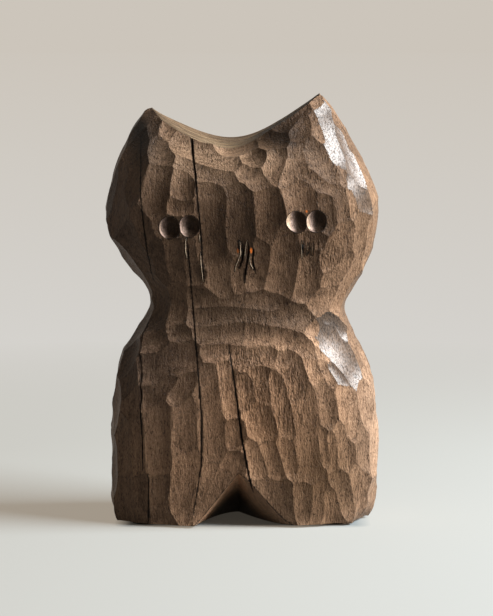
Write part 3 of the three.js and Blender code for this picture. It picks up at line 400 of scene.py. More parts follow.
# Half the size of the ground that the block stands over, where the floor's glow of bounced light is cut
# down as a painted contact shadow
FOOTPRINT = (0.065, 0.031, 1)
FOOTPRINT_EASE = 0.01
BOUNCE_LEAST = 0.1
BACKDROP = (0.604, 0.558, 0.497, 1)
MIDDLE_PALE = (0.658, 0.638, 0.604, 1)
NEAR_PALE = (0.701, 0.701, 0.665, 1)
KEY_AZIMUTH = math.radians(77)  # from the front to the right
KEY_ELEVATION = math.radians(34)
KEY_DISTANCE = 1.6
KEY_WIDTH = 1.0
KEY_HEIGHT = 0.6
KEY_WATTS = 60
FILL = 0.04
FILL_COLOUR = (1, 1, 1, 1)
AIM = (0.002, 0, 0.1235)  # what the lamp and the camera are turned to
CAMERA_PLACE = (0.002, -1.5, 0.28)
CAMERA_LENS = 149.5
CAMERA_SENSOR = 36


def pad_box(side, end):
    """Lowest and highest corner of one felt pad of the frame, in millimetres."""
    name = f"felt_pad_{'front' if end < 0 else 'back'}_{'left' if side < 0 else 'right'}"
    low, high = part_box(name)
    return name, np.array(low) / MM, np.array(high) / MM


def shift_of_the_block():
    """How far the frame's origin lies from the middle of the outlines, read from the front left pad."""
    _, low, high = pad_box(-1, -1)
    clear = PAD_INSET + PAD_DIAMETER / 2
    nominal = np.array([-(LEFT_OUTLINE[0, 1] - clear), -(SIDE_OUTLINE[0, 1] - clear)])
    return np.array([*((low + high)[:2] / 2 - nominal), 0]), high[2]


SHIFT, SOLE = shift_of_the_block()


# Helpers for arrays that hold one vector in their last axis
def dot(a, b):
    return np.einsum("...i,...i->...", a, b)


def unit(a):
    return a / np.maximum(np.sqrt(dot(a, a)), NEARLY_ZERO)[..., None]


def ramp(place, start, end):
    """From 0 at start to 1 at end, along the cubic that is level at both."""
    f = np.clip((place - start) / (end - start), 0, 1)
    return f * f * (3 - 2 * f)


def curve(rows, place):
    """A smooth curve through rows of (place, value): on each stretch the cubic whose slope at each end
    is that of the line between the neighbouring rows."""
    x, y = rows.T
    place = np.clip(place, x[0], x[-1])
    k = np.clip(np.searchsorted(x, place, side="right") - 1, 0, len(x) - 2)
    before = np.maximum(np.arange(len(x)) - 1, 0)
    after = np.minimum(np.arange(len(x)) + 1, len(x) - 1)
    slope = (y[after] - y[before]) / (x[after] - x[before])
    h = x[k + 1] - x[k]
    f = (place - x[k]) / h
    g = 1 - f
    ends = (1 + 2 * f) * g * g * y[k] + f * f * (3 - 2 * f) * y[k + 1]
    return ends + h * (f * g * g * slope[k] - f * f * g * slope[k + 1])


def form(s, c, t):
    """A point of the block: s across and c from front to back, each -1 to 1, and t up, 0 to 1. The two
    outlines give x and the half depth. z rises to the tip of each ear, less the saddle between them,
    whose section is a hyperbola, and less a fall of the top towards the front."""
    across = (s + 1) / 2
    x = (across - 1) * curve(LEFT_OUTLINE, t) + across * curve(RIGHT_OUTLINE, t)
    sag = np.clip((t - SADDLE_START) / (1 - SADDLE_START), 0, 1) ** 2
    slope = TOP_FALL + (TOP_FALL_RIGHT - TOP_FALL) * ramp(s, *TOP_FALL_EASE)
    fall = slope * ramp(t, TOP_FALL_START, 1) * (1 - np.abs(s) ** TOP_FALL_POWER)
    rise = (np.hypot(s, SADDLE_BEND) - SADDLE_BEND) / (np.hypot(1, SADDLE_BEND) - SADDLE_BEND)
    z = SOLE + t * (LEFT_EAR_HEIGHT + (RIGHT_EAR_HEIGHT - LEFT_EAR_HEIGHT) * across)
    z = z - SADDLE_DROP * (1 - rise) * sag - fall * (1 - c) / 2
    hollow = BROW_HOLLOW * (1 - s * s) * ramp(t, BROW_START, 1)
    y = c * (curve(SIDE_OUTLINE, t) - hollow) - EAR_LEAN * ramp(t, EAR_LEAN_START, 1)
    return np.stack([x, y, z], -1)


def surface(a, t):
    """The block's surface: a is the direction in the plan, whose sine and cosine are raised to 2 over
    the plan's power, and t is the share of the height."""
    t = np.clip(t, 0, 1)
    power = 2 / curve(PLAN_POWER, t)
    s = np.sign(np.cos(a)) * np.abs(np.cos(a)) ** power
    c = np.sign(np.sin(a)) * np.abs(np.sin(a)) ** power
    return form(s, c, t)


def normal(a, t):
    """The direction out of the surface: the cross of its slopes round the block and up it."""
    t = np.clip(t, NUDGE, 1 - NUDGE)
    around = surface(a + NUDGE, t) - surface(a - NUDGE, t)
    rise = surface(a, t + NUDGE) - surface(a, t - NUDGE)
    return unit(np.cross(around, rise))


def front_angle(s, t):
    """The direction in the plan at which the front lies s percent across, t percent up."""
    share = np.clip(s * PERCENT, -1, 1)
    power = curve(PLAN_POWER, t * PERCENT) / 2
    return -np.arccos(np.sign(share) * np.abs(share) ** power)


def on_front(x, z):
    """The direction in the plan and the share of the height at places on the front given in
    millimetres. The share is corrected a few times by how far the height there is out."""
    t = z / LEFT_EAR_HEIGHT
    for _ in range(PLACING_ROUNDS):
        held = np.clip(t, 0, 1)
        left, right = curve(LEFT_OUTLINE, held), curve(RIGHT_OUTLINE, held)
        a = front_angle((2 * (x + left) / (left + right) - 1) / PERCENT, held / PERCENT)
        t = t + (z - surface(a, held)[..., 2]) / LEFT_EAR_HEIGHT - (t - held)
    return a, t


def even_angles(start, end):
    """Directions at equal lengths along a level outline: its total length, and the direction at a share."""
    a = np.linspace(start, end, OUTLINE_SAMPLES)
    points = surface(a, np.full_like(a, OUTLINE_LEVEL))
    length = np.concatenate([[0], np.cumsum(np.linalg.norm(np.diff(points, axis=0), axis=1))])
    return length[-1], lambda share: np.interp(np.clip(share, 0, 1) * length[-1], length, a)


# Cuts of the gouge: line and out hold three places of the middle line and the normals there.
Cuts = namedtuple("Cuts", "line out radius depth")


def scatter(index, which):
    """A repeatable number from 0 to 1: the fraction of a large multiple of a sine."""
    step, turn, large = SCATTER
    value = np.sin(index * step + DRAW[which] * turn) * large
    return value - np.floor(value)


def front_rows(rows, radius, depth):
    """Ends, radius and depth of cuts on the front, as rows of (a0, t0, a1, t1, radius, depth)."""
    s0, t0, s1, t1, wide, deep = np.array(rows, float).T
    ends = [front_angle(s0, t0), t0 * PERCENT, front_angle(s1, t1), t1 * PERCENT]
    return np.stack([*ends, wide * radius, deep * depth], 1)


def back_rows():
    """The same for the flanks and the back: staggered rows of upright cuts, each a little off its place."""
    total, angle_at = even_angles(math.radians(BACK_FROM), math.radians(BACK_TO))
    columns = round(total / BACK_CUT_WIDTH)
    rows = round(LEFT_EAR_HEIGHT / BACK_CUT_LENGTH)
    j, i = np.divmod(np.arange(rows * columns), columns)
    index = j * columns + i + 1

    def stray(which):
        return scatter(index, which) - 0.5

    def between(pair, which):
        return pair[0] + (pair[1] - pair[0]) * scatter(index, which)

    shift = BACK_STAGGER * ((j % 2) - 0.5) + BACK_SIDE_PLAY * stray("side")
    a = angle_at((i + 0.5 + shift) / columns)
    t = (j + 0.5 + BACK_RISE_PLAY * stray("rise")) / rows
    half = between(BACK_HALF_LENGTH, "length") / rows
    tilt = BACK_TILT * stray("tilt")
    radius = FLAT_RADIUS * between(BACK_RADIUS, "hollow")
    depth = GOUGE_DEPTH * between(BACK_DEPTH, "hollow")
    return np.stack([a - tilt, t + half, a + tilt, t - half, radius, depth], 1)


def all_cuts():
    """Every cut with its middle line as three points of the surface."""
    rows = np.concatenate([
        front_rows(POLISHED_CUTS, GOUGE_RADIUS, GOUGE_DEPTH),
        front_rows(FACE_CUTS, GOUGE_RADIUS, GOUGE_DEPTH),
        front_rows(FLANK_CUTS, FLAT_RADIUS, FLAT_DEPTH),
        back_rows(),
    ])
    a0, t0, a1, t1, radius, depth = rows.T
    a = np.stack([a0, (a0 + a1) / 2, a1], 1)
    t = np.stack([t0, (t0 + t1) / 2, t1], 1)
    return Cuts(surface(a, t), normal(a, t), radius, depth)


def along(three, u):
    """The value at share u of the quadratic through three vectors."""
    first, middle, last = three[..., 0, :], three[..., 1, :], three[..., 2, :]
    u = u[..., None]
    return (1 - u) * (1 - 2 * u) * first + 4 * u * (1 - u) * middle + u * (2 * u - 1) * last


def cut_depth(cuts, which, point, facing):
    """How far below the surface a cut lies: its depth at the middle line, less the square of the
    distance beside that line over twice its radius, measured along the surface's own normal."""
    line, outs, radius, depth = (part[which] for part in cuts)
    start = line[..., 0, :]
    run = line[..., 2, :] - start
    share = dot(point - start, run) / np.maximum(dot(run, run), NEARLY_ZERO)
    u = np.clip(share, 0, 1)
    out = unit(along(outs, u))
    turned = dot(facing, out)
    offset = point - along(line, u)
    height = dot(offset, out)
    beside = dot(offset, offset) - height * height
    below = depth + np.minimum(height, 0) - beside / (2 * radius)
    return np.where(turned < FACING_LEAST, -np.inf, below / np.maximum(turned, SLANT_LEAST))


def deepest(cuts, point, facing):
    """The two deepest cuts at each point: their depths and numbers."""
    first = np.full(len(point), -np.inf)
    second = first.copy()
    first_cut = np.zeros(len(point), int)
    second_cut = first_cut.copy()
    for k in range(len(cuts.radius)):
        reach = np.linalg.norm(cuts.line[k, 2] - cuts.line[k, 0]) / 2 + CUT_OVERRUN
        away = point - cuts.line[k, 1]
        near = np.flatnonzero(dot(away, away) < reach * reach)
        value = cut_depth(cuts, k, point[near], facing[near])
        wins = value > first[near]
        follows = ~wins & (value > second[near])
        second[near] = np.where(wins, first[near], np.where(follows, value, second[near]))
        second_cut[near] = np.where(wins, first_cut[near], np.where(follows, k, second_cut[near]))
        first[near] = np.where(wins, value, first[near])
        first_cut[near] = np.where(wins, k, first_cut[near])
    return first, second, first_cut, second_cut


def to_ridge(cuts, a, t, reach, movable):
    """Places moved to the ridge between their two deepest cuts, where it is nearer than reach: one
    step down the slope of the difference of the two depths. movable is 0 where t has to stay."""
    point, facing = surface(a, t), normal(a, t)
    first, second, first_cut, second_cut = deepest(cuts, point, facing)

    def difference(a, t):
        p, n = surface(a, t), normal(a, t)
        return cut_depth(cuts, first_cut, p, n) - cut_depth(cuts, second_cut, p, n)

    step = 2 * NUDGE
    side = np.where(t > 0.5, -step, step)
    around = np.linalg.norm(surface(a + step, t) - surface(a - step, t), axis=1) / (2 * step)
    rise = np.linalg.norm(surface(a, t + side) - point, axis=1) / step
    with np.errstate(invalid="ignore"):
        g = first - second
        ga = (difference(a + step, t) - difference(a - step, t)) / (2 * step * around)
        gt = movable * (difference(a, t + side) - difference(a, t)) / (side * rise)
        steep = ga * ga + gt * gt
        good = np.isfinite(g) & np.isfinite(steep) & (steep > NEARLY_ZERO)
        good &= g <= reach * np.sqrt(np.maximum(steep, NEARLY_ZERO))
        new_a = np.where(good, a - g * ga / (steep * around), a)
        new_t = np.where(good, t - g * gt / (steep * rise), t)
    return new_a, np.clip(new_t, 0, 1)


def carved(cuts, a, t):
    """The carved points at places of the surface, the number of the cut there, and how near a ridge
    each lies, in millimetres of depth."""
    point, facing = surface(a, t), normal(a, t)
    first, second, number, _ = deepest(cuts, point, facing)
    out = facing * np.where((t > 0) & (t < 1), 1, [[1], [1], [0]]).T
    below = np.clip(first, -CUT_PROUD, CUT_DEEPEST)
    return point - out * below[:, None], number, first - second


def tube_quads(rings, sides):
    """The four corners of each face between neighbouring rings of points, all the way round."""
    j, e = np.divmod(np.arange((rings - 1) * sides), sides)
    f = (e + 1) % sides
    return np.stack([j * sides + e, j * sides + f, (j + 1) * sides + f, (j + 1) * sides + e], 1)


def halved(quads):
    """Two triangles for each four corners."""
    return np.concatenate([quads[:, [0, 1, 2]], quads[:, [0, 2, 3]]])


def split_quads(points, quads, middles):
    """Two triangles for each four corners, along the diagonal whose middle is nearer the given point."""
    p, q, r, s = (points[quads[:, k]] for k in range(4))
    one = np.linalg.norm((p + r) / 2 - middles, axis=1)
    other = np.linalg.norm((q + s) / 2 - middles, axis=1)
    straight = quads[:, [0, 1, 2, 0, 2, 3]]
    crossed = quads[:, [0, 1, 3, 1, 2, 3]]
    return np.where((one <= other)[:, None], straight, crossed).reshape(-1, 3)


def saddle_points(points, ring):
    """The inner points of the top: each strip runs from the front rim to the back rim in even steps,
    bent like the uncarved top and sunk into shallow grooves, parabolas in section, that wander from ear
    to ear. Returns one row of points for each strip between the two ears."""
    half = COLUMNS // 2
    front = points[ring[(-np.arange(1, half)) % COLUMNS]]
    back = points[ring[np.arange(1, half)]]
    left, right = -LEFT_OUTLINE[-1, 1], RIGHT_OUTLINE[-1, 1]
    s = np.clip(2 * (front[:, 0] - left) / (right - left) - 1, -1, 1)[:, None]
    f = np.arange(1, TOP_STEPS) / TOP_STEPS
    top = np.ones_like(s)

    def height(c):
        return form(s + 0 * c, c + 0 * s, top + 0 * c)[..., 2]

    inner = front[:, None] + (back - front)[:, None] * f[None, :, None]
    bend = height(2 * f[None] - 1) - (1 - f) * height(-top) - f * height(top)
    across, inwards = TOP_GROOVE_BENDS
    winding = TOP_GROOVE_WANDER * np.sin(across * s + inwards * f) * np.sin(np.pi * f)
    groove = 4 * np.abs((TOP_GROOVES * f + winding) % 1 - 0.5) ** 2
    inner[..., 2] += bend - TOP_GROOVE_DEPTH * (1 - groove)
    return inner


def strip_triangles(strips):
    """Triangles over strips of point numbers, which come to one point at both ends of the row."""
    near, far = strips[:-1], strips[1:]
    grid = np.stack([near[:, :-1], near[:, 1:], far[:, 1:], far[:, :-1]], -1).reshape(-1, 4)
    triangles = np.concatenate([grid[:, [0, 1, 3]], grid[:, [1, 2, 3]]])
    distinct = (triangles[:, 0] != triangles[:, 1]) & (triangles[:, 1] != triangles[:, 2])
    return triangles[distinct & (triangles[:, 0] != triangles[:, 2])]


def make_object(name, points, faces, materials):
    """A mesh object in metres, in the frame's place, from points in millimetres and faces that all have
    the same number of corners."""
    mesh = bpy.data.meshes.new(name)
    faces = np.asarray(faces)
    sides = faces.shape[1]
    mesh.vertices.add(len(points))
    mesh.vertices.foreach_set("co", ((points + SHIFT) * MM).astype(np.float32).ravel())
    mesh.loops.add(faces.size)
    mesh.loops.foreach_set("vertex_index", faces.astype(np.int32).ravel())
    mesh.polygons.add(len(faces))
    mesh.polygons.foreach_set("loop_start", np.arange(0, faces.size, sides, dtype=np.int32))
    mesh.update(calc_edges=True)
    mesh.validate()
    for material in materials:
        mesh.materials.append(material)
    made = bpy.data.objects.new(name, mesh)
    bpy.context.scene.collection.objects.link(made)
    return made


def bell(points, x, z, wide, high):
    """A spot seen from the front: 1 in its middle and e to the power of less the square of the distance
    elsewhere, with the distance in half widths and half heights."""
    return np.exp(-((points[:, 0] - x) / wide) ** 2 - ((points[:, 2] - z) / high) ** 2)


def stain_and_painted_shading(points):
    """How much of the wood's red, green and blue each point of the front keeps, after every spot of
    staining and of painted light and shade.
    """
    keep = np.ones((len(points), 3))
    for x, z, wide, high, *shares in STAIN_AND_SHADING_SPOTS:
        keep = keep * (1 + (np.array(shares) - 1) * bell(points, x, z, wide, high)[:, None])
    return np.where(points[:, 1:2] < 0, keep, 1)


def torn(points):
    """How torn the fibres are at each point of the front, from 0 to 1, after every spot."""
    sound = np.ones(len(points))
    for spot in TORN_SPOTS:
        sound = sound * (1 - bell(points, *spot))
    return np.where(points[:, 1] < 0, 1 - sound, 0)


def put(piece, name, domain, values):
    """Stores one number or three, of STORED_MOST at most, for each point or face. The material of the
    piece reads them."""
    values = np.minimum(values, STORED_MOST).astype(np.float32)
    kind, field = ("FLOAT", "value") if values.ndim == 1 else ("FLOAT_VECTOR", "vector")
    piece.data.attributes.new(name, kind, domain).data.foreach_set(field, values.ravel())


def ring_places(cuts):
    """Rings of places from the sole to the top, at equal lengths round the block, each moved to the ridge
    it lies near. Those at the tips of the ears and at the two ends of the sole stay."""
    half = COLUMNS // 2
    total, angle_at = even_angles(0, math.pi)
    k = np.arange(COLUMNS)
    column = np.where(k <= half, angle_at(k / half), -angle_at((COLUMNS - k) / half))
    a, t = np.tile(column, ROWS + 1), np.repeat(np.arange(ROWS + 1) / ROWS, COLUMNS)
    inside = (t > 0) & (t < 1)
    tips = ~inside & np.isin(np.tile(k, ROWS + 1), (0, half))
    moved_a, moved_t = to_ridge(cuts, a, t, RIDGE_REACH * total / half, inside * 1.0)
    return np.where(tips, a, moved_a), np.where(tips, t, moved_t)


def closed_ends(points):
    """What closes the rings of points: the inner points of the top, then the triangles of the top and
    those of the flat sole, both in strips from the front to the back."""
    half = COLUMNS // 2
    ring = ROWS * COLUMNS + np.arange(COLUMNS)
    inner = saddle_points(points, ring)
    strips = np.empty((half + 1, TOP_STEPS + 1), int)
    strips[:, 0] = ring[(-np.arange(half + 1)) % COLUMNS]
    strips[:, -1] = ring[np.arange(half + 1)]
    strips[1:-1, 1:-1] = len(points) + np.arange(inner.size // 3).reshape(inner.shape[:2])
    strips[0], strips[-1] = strips[0, 0], strips[-1, 0]
    sole_ends = np.stack([np.arange(half + 1), (-np.arange(half + 1)) % COLUMNS], 1)
    return inner.reshape(-1, 3), strip_triangles(strips), strip_triangles(sole_ends)


def carved_block(cuts, materials):
    """The carved block before its hollows: every place of its rings is sunk to the deepest cut there. A
    face takes its tone, and whether it is polished, from the cut in its middle."""
    a, t = ring_places(cuts)
    points, _, ridge = carved(cuts, a, t)
    quads = tube_quads(ROWS + 1, COLUMNS)
    turns = a[quads] - 2 * np.pi * np.round((a[quads] - a[quads[:, :1]]) / (2 * np.pi))
    middles, numbers, _ = carved(cuts, turns.mean(1), t[quads].mean(1))
    sides = split_quads(points, quads, middles)
    tone = np.repeat(scatter(np.arange(len(cuts.radius)) + 1, "tone")[numbers], 2)
    wax = np.repeat(numbers < len(POLISHED_CUTS), 2)
    inner, top, sole = closed_ends(points)
    rest = len(top) + len(sole)
    points = np.concatenate([points, inner])
    piece = make_object("carved_block_wood", points, np.concatenate([sides, top, sole]), materials)
    put(piece, "tone", "FACE", np.append(tone, np.full(rest, EVEN_TONE)))
    put(piece, "wax", "FACE", np.append(wax, np.zeros(rest)))
    put(piece, "top", "FACE", np.repeat([0, 1, 0], [len(sides), len(top), len(sole)]))
    put(piece, "ridge", "POINT", np.append(ridge, np.ones(len(inner))))
    put(piece, "stain_and_painted_shading", "POINT", stain_and_painted_shading(points))
    put(piece, "torn", "POINT", torn(points))
    return piece


def mesh_points(mesh):
    """The points of a mesh, in metres."""
    points = np.empty(len(mesh.vertices) * 3, np.float32)
    mesh.vertices.foreach_get("co", points)
    return points.reshape(-1, 3)


def upright(piece):
    """Turns a piece's faces outwards if it is inside out."""
    mesh = piece.data
    mesh.calc_loop_triangles()
    triangles = np.empty(len(mesh.loop_triangles) * 3, np.int32)
    mesh.loop_triangles.foreach_get("vertices", triangles)
    p, q, r = mesh_points(mesh)[triangles].reshape(-1, 3, 3).transpose(1, 0, 2)
    if dot(p, np.cross(q, r)).sum() < 0:
        mesh.flip_normals()
    return piece


def pointed_faces(rings, sides):
    """Triangles over rings of points with a single point before the first ring and one after the last,
    each closed by a fan."""
    e = np.arange(sides)
    f = (e + 1) % sides
    last = rings * sides + 1
    start = np.stack([0 * e, 1 + f, 1 + e], 1)
    end = np.stack([0 * e + last, last - sides + e, last - sides + f], 1)
    return np.concatenate([halved(tube_quads(rings, sides)) + 1, start, end])


def even(points):
    """The same share of the colour at every point."""
    return np.ones((len(points), 3))


def marked(piece, slot, pale):
    """Gives a cutter the wood's attributes and one material slot, for the faces it leaves behind. pale
    gives the share of the colour kept at its points: painted light and shade in the notch and the eyes."""
    mesh = piece.data
    points = mesh_points(mesh) / MM - SHIFT
    put(piece, "stain_and_painted_shading", "POINT", stain_and_painted_shading(points) * pale(points))
    put(piece, "ridge", "POINT", np.ones(len(mesh.vertices)))
    put(piece, "tone", "FACE", np.full(len(mesh.polygons), EVEN_TONE))
    mesh.polygons.foreach_set("material_index", np.full(len(mesh.polygons), slot, np.int32))
    return upright(piece)


def sliver(name, rows, low, high, spread, slot, cuts, materials):
    """A wedge along a line on the front, from low to high in millimetres above the carved surface,
    pointed at both ends and along one edge. Its width is as given at the surface and grows or shrinks by
    spread times the height. Its middle line wanders a little, as a split follows the fibres."""
    x, z, width = np.array(rows, float).T
    length = np.concatenate([[0], np.cumsum(np.hypot(np.diff(x), np.diff(z)))])
    count = max(int(length[-1] / LINE_STEP), LINE_STEPS_LEAST)
    place = np.linspace(0, length[-1], count + 1)
    x, z, width = (np.interp(place, length, row) for row in (x, z, width))
    index = np.arange(count + 1) + LINE_DRAWS[0] * len(name) + LINE_DRAWS[1] * len(rows)
    fade = np.minimum(1, np.minimum(place, length[-1] - place) / LINE_TAPER)
    width = width * (LINE_THINNEST + LINE_WIDTH_PLAY * scatter(index, "width"))
    x = x + LINE_WANDER * fade * (2 * scatter(index, "wander") - 1)
    a, t = on_front(x, z)
    outs = normal(a, t)
    held = np.clip(t, 0, 1)
    points = carved(cuts, a, held)[0]
    points[:, 2] += (t - held) * LEFT_EAR_HEIGHT
    side = unit(np.cross(unit(np.gradient(points, axis=0)), outs))
    wide, sharp = (low, high) if spread < 0 else (high, low)
    reach = (width / 2 * (1 + abs(spread * wide)))[1:-1, None]
    base = points + outs * wide
    rings = np.stack([
        base[1:-1] - side[1:-1] * reach,
        base[1:-1] + side[1:-1] * reach,
        points[1:-1] + outs[1:-1] * sharp,
    ], 1).reshape(-1, 3)
    vertices = np.concatenate([points[:1], rings, points[-1:]])
    return marked(make_object(name, vertices, pointed_faces(count - 1, 3), materials), slot, even)


def crack_cutter(name, rows, depth, cuts, materials):
    """The wedge that a crack leaves open: its bottom edge is sharp."""
    return sliver(name, rows, -depth, CUTTER_STAND, 1 / depth, SHADED_SPLIT_SLOT, cuts, materials)


def splinter(name, rows, cuts, materials):
    """A splinter that stands up from the carved surface: its upper edge is sharp."""
    low, spread = -SPLINTER_ROOT, -SPLINTER_SLOPE
    return sliver(name, rows, low, SPLINTER_RISE, spread, SPLINTER_SLOT, cuts, materials)


def shaded(points):
    """The share of the colour kept in the notch: painted light on the walls at its mouth, the left the
    paler, and painted shade deep inside.
    """
    inside = ramp(points[:, 1], -NOTCH_MOUTH, NOTCH_SHADE_DEPTH - NOTCH_MOUTH)
    across = ramp(points[:, 0], NOTCH_X - NOTCH_TURN, NOTCH_X + NOTCH_TURN)
    pale = NOTCH_PAINTED_LIGHT_LEFT + (NOTCH_PAINTED_LIGHT_RIGHT - NOTCH_PAINTED_LIGHT_LEFT) * across
    return np.stack([pale + (NOTCH_PAINTED_SHADE - pale) * inside] * 3, 1)


def notch_cutter(materials):
    """The notch: u runs across it and its reach falls off as 1 less a power of u on the left and as a
    power of what is left on the right. The whole narrows to a peak as it rises."""
    z = np.linspace(-NOTCH_BELOW, NOTCH_HEIGHT - NOTCH_PEAK_GAP, NOTCH_LEVELS + 1)[:, None]
    u = np.linspace(-NOTCH_SPREAD, NOTCH_SPREAD, NOTCH_STEPS + 1)[None]
    narrow = 1 - z / NOTCH_HEIGHT
    wall = -curve(SIDE_OUTLINE, z * 2 / (LEFT_EAR_HEIGHT + RIGHT_EAR_HEIGHT))
    steep = 1 - np.abs(u) ** NOTCH_LEFT_POWER
    rounded = np.sign(1 - u) * np.abs(1 - u) ** NOTCH_RIGHT_POWER
    x = NOTCH_X + u * np.where(u < 0, NOTCH_LEFT, NOTCH_RIGHT) * narrow
    y = wall + NOTCH_DEPTH * narrow ** NOTCH_RISE_POWER * np.where(u < 0, steep, rounded)
    inner = np.stack([x, y, SOLE + z + 0 * u], -1)
    outer = inner.copy()
    outer[..., 1] = -(SIDE_OUTLINE[:, 1].max() + NOTCH_STAND)
    wide = NOTCH_STEPS + 1
    loops = np.concatenate([inner, outer[:, ::-1]], 1)
    rings, sides = loops.shape[:2]
    i = np.arange(NOTCH_STEPS)
    cap = halved(np.stack([i, i + 1, 2 * wide - 2 - i, 2 * wide - 1 - i], 1))
    lid = cap + (rings - 1) * sides
    faces = np.concatenate([halved(tube_quads(rings, sides)), cap[:, ::-1], lid])
    # The walls get painted light at the mouth and painted shade deep inside.
    return marked(make_object("notch_cutter", loops.reshape(-1, 3), faces, materials), WAXED_SLOT, shaded)


def eye_cutter(name, x, z, cuts, materials):
    """A ball whose cap is EYE_DEPTH deep and EYE_DIAMETER across where it meets the carved surface."""
    a, t = on_front(np.array([x]), np.array([z]))
    radius = ((EYE_DIAMETER / 2) ** 2 + EYE_DEPTH ** 2) / (2 * EYE_DEPTH)
    middle = carved(cuts, a, t)[0] + normal(a, t) * (radius - EYE_DEPTH)
    rise = np.linspace(0, np.pi, BALL_ROWS + 1)[1:-1, None]
    turn = np.linspace(0, 2 * np.pi, BALL_COLUMNS, endpoint=False)[None]
    level = np.sin(rise)
    ball = np.stack([level * np.cos(turn), level * np.sin(turn), np.cos(rise) + 0 * turn], -1)
    poles = np.array([[0, 0, 1.0], [0, 0, -1.0]])
    points = np.concatenate([poles[:1], ball.reshape(-1, 3), poles[1:]]) * radius + middle
    ball = make_object(name, points, pointed_faces(BALL_ROWS - 1, BALL_COLUMNS), materials)
    painted_light = EYE_PAINTED_LIGHT_LEFT if x < 0 else EYE_PAINTED_LIGHT_RIGHT

    # Painted light on the left wall of the hollow and painted shade on the rest
    def painted_eye_light(points):
        share = ramp(middle[0, 0] - points[:, 0], *EYE_PAINTED_LIGHT_EASE)[:, None]
        return EYE_PAINTED_SHADE * (1 - share) + np.array(painted_light) * share

    return marked(ball, WAXED_SLOT, painted_eye_light)


def combine(piece, operation, cutters):
    """Cuts each cutter out of the piece or joins it on, with the result left in the piece's own mesh."""
    for cutter in cutters:
        modifier = piece.modifiers.new(cutter.name, "BOOLEAN")
        modifier.operation = operation
        modifier.solver = "MANIFOLD"
        modifier.object = cutter
    graph = bpy.context.evaluated_depsgraph_get()
    result = bpy.data.meshes.new_from_object(piece.evaluated_get(graph))
    piece.modifiers.clear()
    piece.data = result
    for cutter in cutters:
        bpy.data.objects.remove(cutter)
    return piece


def felt_disc(side, end, material):
    """A stamped disc of felt: rings round an upright axis, from the middle of its underside out to a rim
    that is rounded over a quarter turn at both edges, and back to the middle of its top."""
    node_name, low, high = pad_box(side, end)
    middle, radius, height = (low + high) / 2, (high - low)[0] / 2, (high - low)[2]
    turn = np.linspace(0, np.pi / 2, FELT_STEPS + 1)
    flat = np.linspace(0, radius - FELT_RIM, FELT_STEPS + 1)[1:-1]
    out = radius - FELT_RIM + FELT_RIM * np.sin(turn)
    up = FELT_RIM * (1 - np.cos(turn))
    rings = np.concatenate([flat, out, out[::-1], flat[::-1]])
    levels = np.concatenate([0 * flat, up, (height - up)[::-1], 0 * flat + height])
    around = np.linspace(0, 2 * np.pi, FELT_TURNS, endpoint=False)
    grid = np.stack([
        rings[:, None] * np.cos(around),
        rings[:, None] * np.sin(around),
        levels[:, None] + 0 * around,
    ], -1).reshape(-1, 3)
    centre = np.array([middle[0], middle[1], low[2]]) - SHIFT
    points = np.concatenate([[[0, 0, 0]], grid, [[0, 0, height]]]) + centre
    faces = pointed_faces(len(rings), FELT_TURNS)
    disc = upright(make_object(node_name + "_disc", points, faces, [material]))
    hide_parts(node_name)
    return disc


# Materials
def fill_sockets(tree, made, sockets):
    """Gives each socket, by name or number, a value or joins it to another node's output."""
    for key, value in sockets.items():
        if isinstance(value, bpy.types.NodeSocket):
            tree.links.new(value, made.inputs[key])
        else:
            made.inputs[key].default_value = value


def node(tree, kind, sockets=None, **settings):
    """Adds a node with its settings and its sockets."""
    made = tree.nodes.new("ShaderNode" + kind)
    for key, value in settings.items():
        setattr(made, key, value)
    fill_sockets(tree, made, sockets or {})
    return made


def calc(tree, operation, *values):
    """The result of a Math node."""
    return node(tree, "Math", dict(enumerate(values)), operation=operation).outputs[0]


def vector_calc(tree, operation, *values):
    """The result of a Vector Math node: a length as a number, anything else as a vector."""
    made = node(tree, "VectorMath", dict(enumerate(values)), operation=operation)
    return made.outputs["Value" if operation == "LENGTH" else "Vector"]


def weighted(tree, values, shares):
    """The sum of the values, each times its share."""
    total = 0.0
    for value, share in zip(values, shares):
        total = calc(tree, "MULTIPLY_ADD", value, share, total)
    return total


def remap(tree, value, low, high, to_low=0.0, to_high=1.0):
    """A value rescaled from one range to another and held inside it."""
    return node(tree, "MapRange", {0: value, 1: low, 2: high, 3: to_low, 4: to_high}).outputs[0]


def blended(tree, share, first, second):
    """The result of mixing two colours."""
    return node(tree, "Mix", {0: share, 6: first, 7: second}, data_type="RGBA").outputs[2]


def noise(tree, place, scales, detail, rough):
    """Cloudy noise on coordinates scaled by a number of its own along x, y and z."""
    spread = vector_calc(tree, "MULTIPLY", place, scales)
    sockets = {"Vector": spread, "Scale": 1.0, "Detail": detail, "Roughness": rough}
    return node(tree, "TexNoise", sockets).outputs["Fac"]


def bumped(tree, height, distance):
    """The normals of a relief whose height of 1 stands for a distance in metres."""
    return node(tree, "Bump", {"Strength": 1.0, "Distance": distance, "Height": height}).outputs[0]


def mask(tree, name):
    """The value of an attribute stored on the mesh."""
    return node(tree, "Attribute", attribute_name=name).outputs["Fac"]


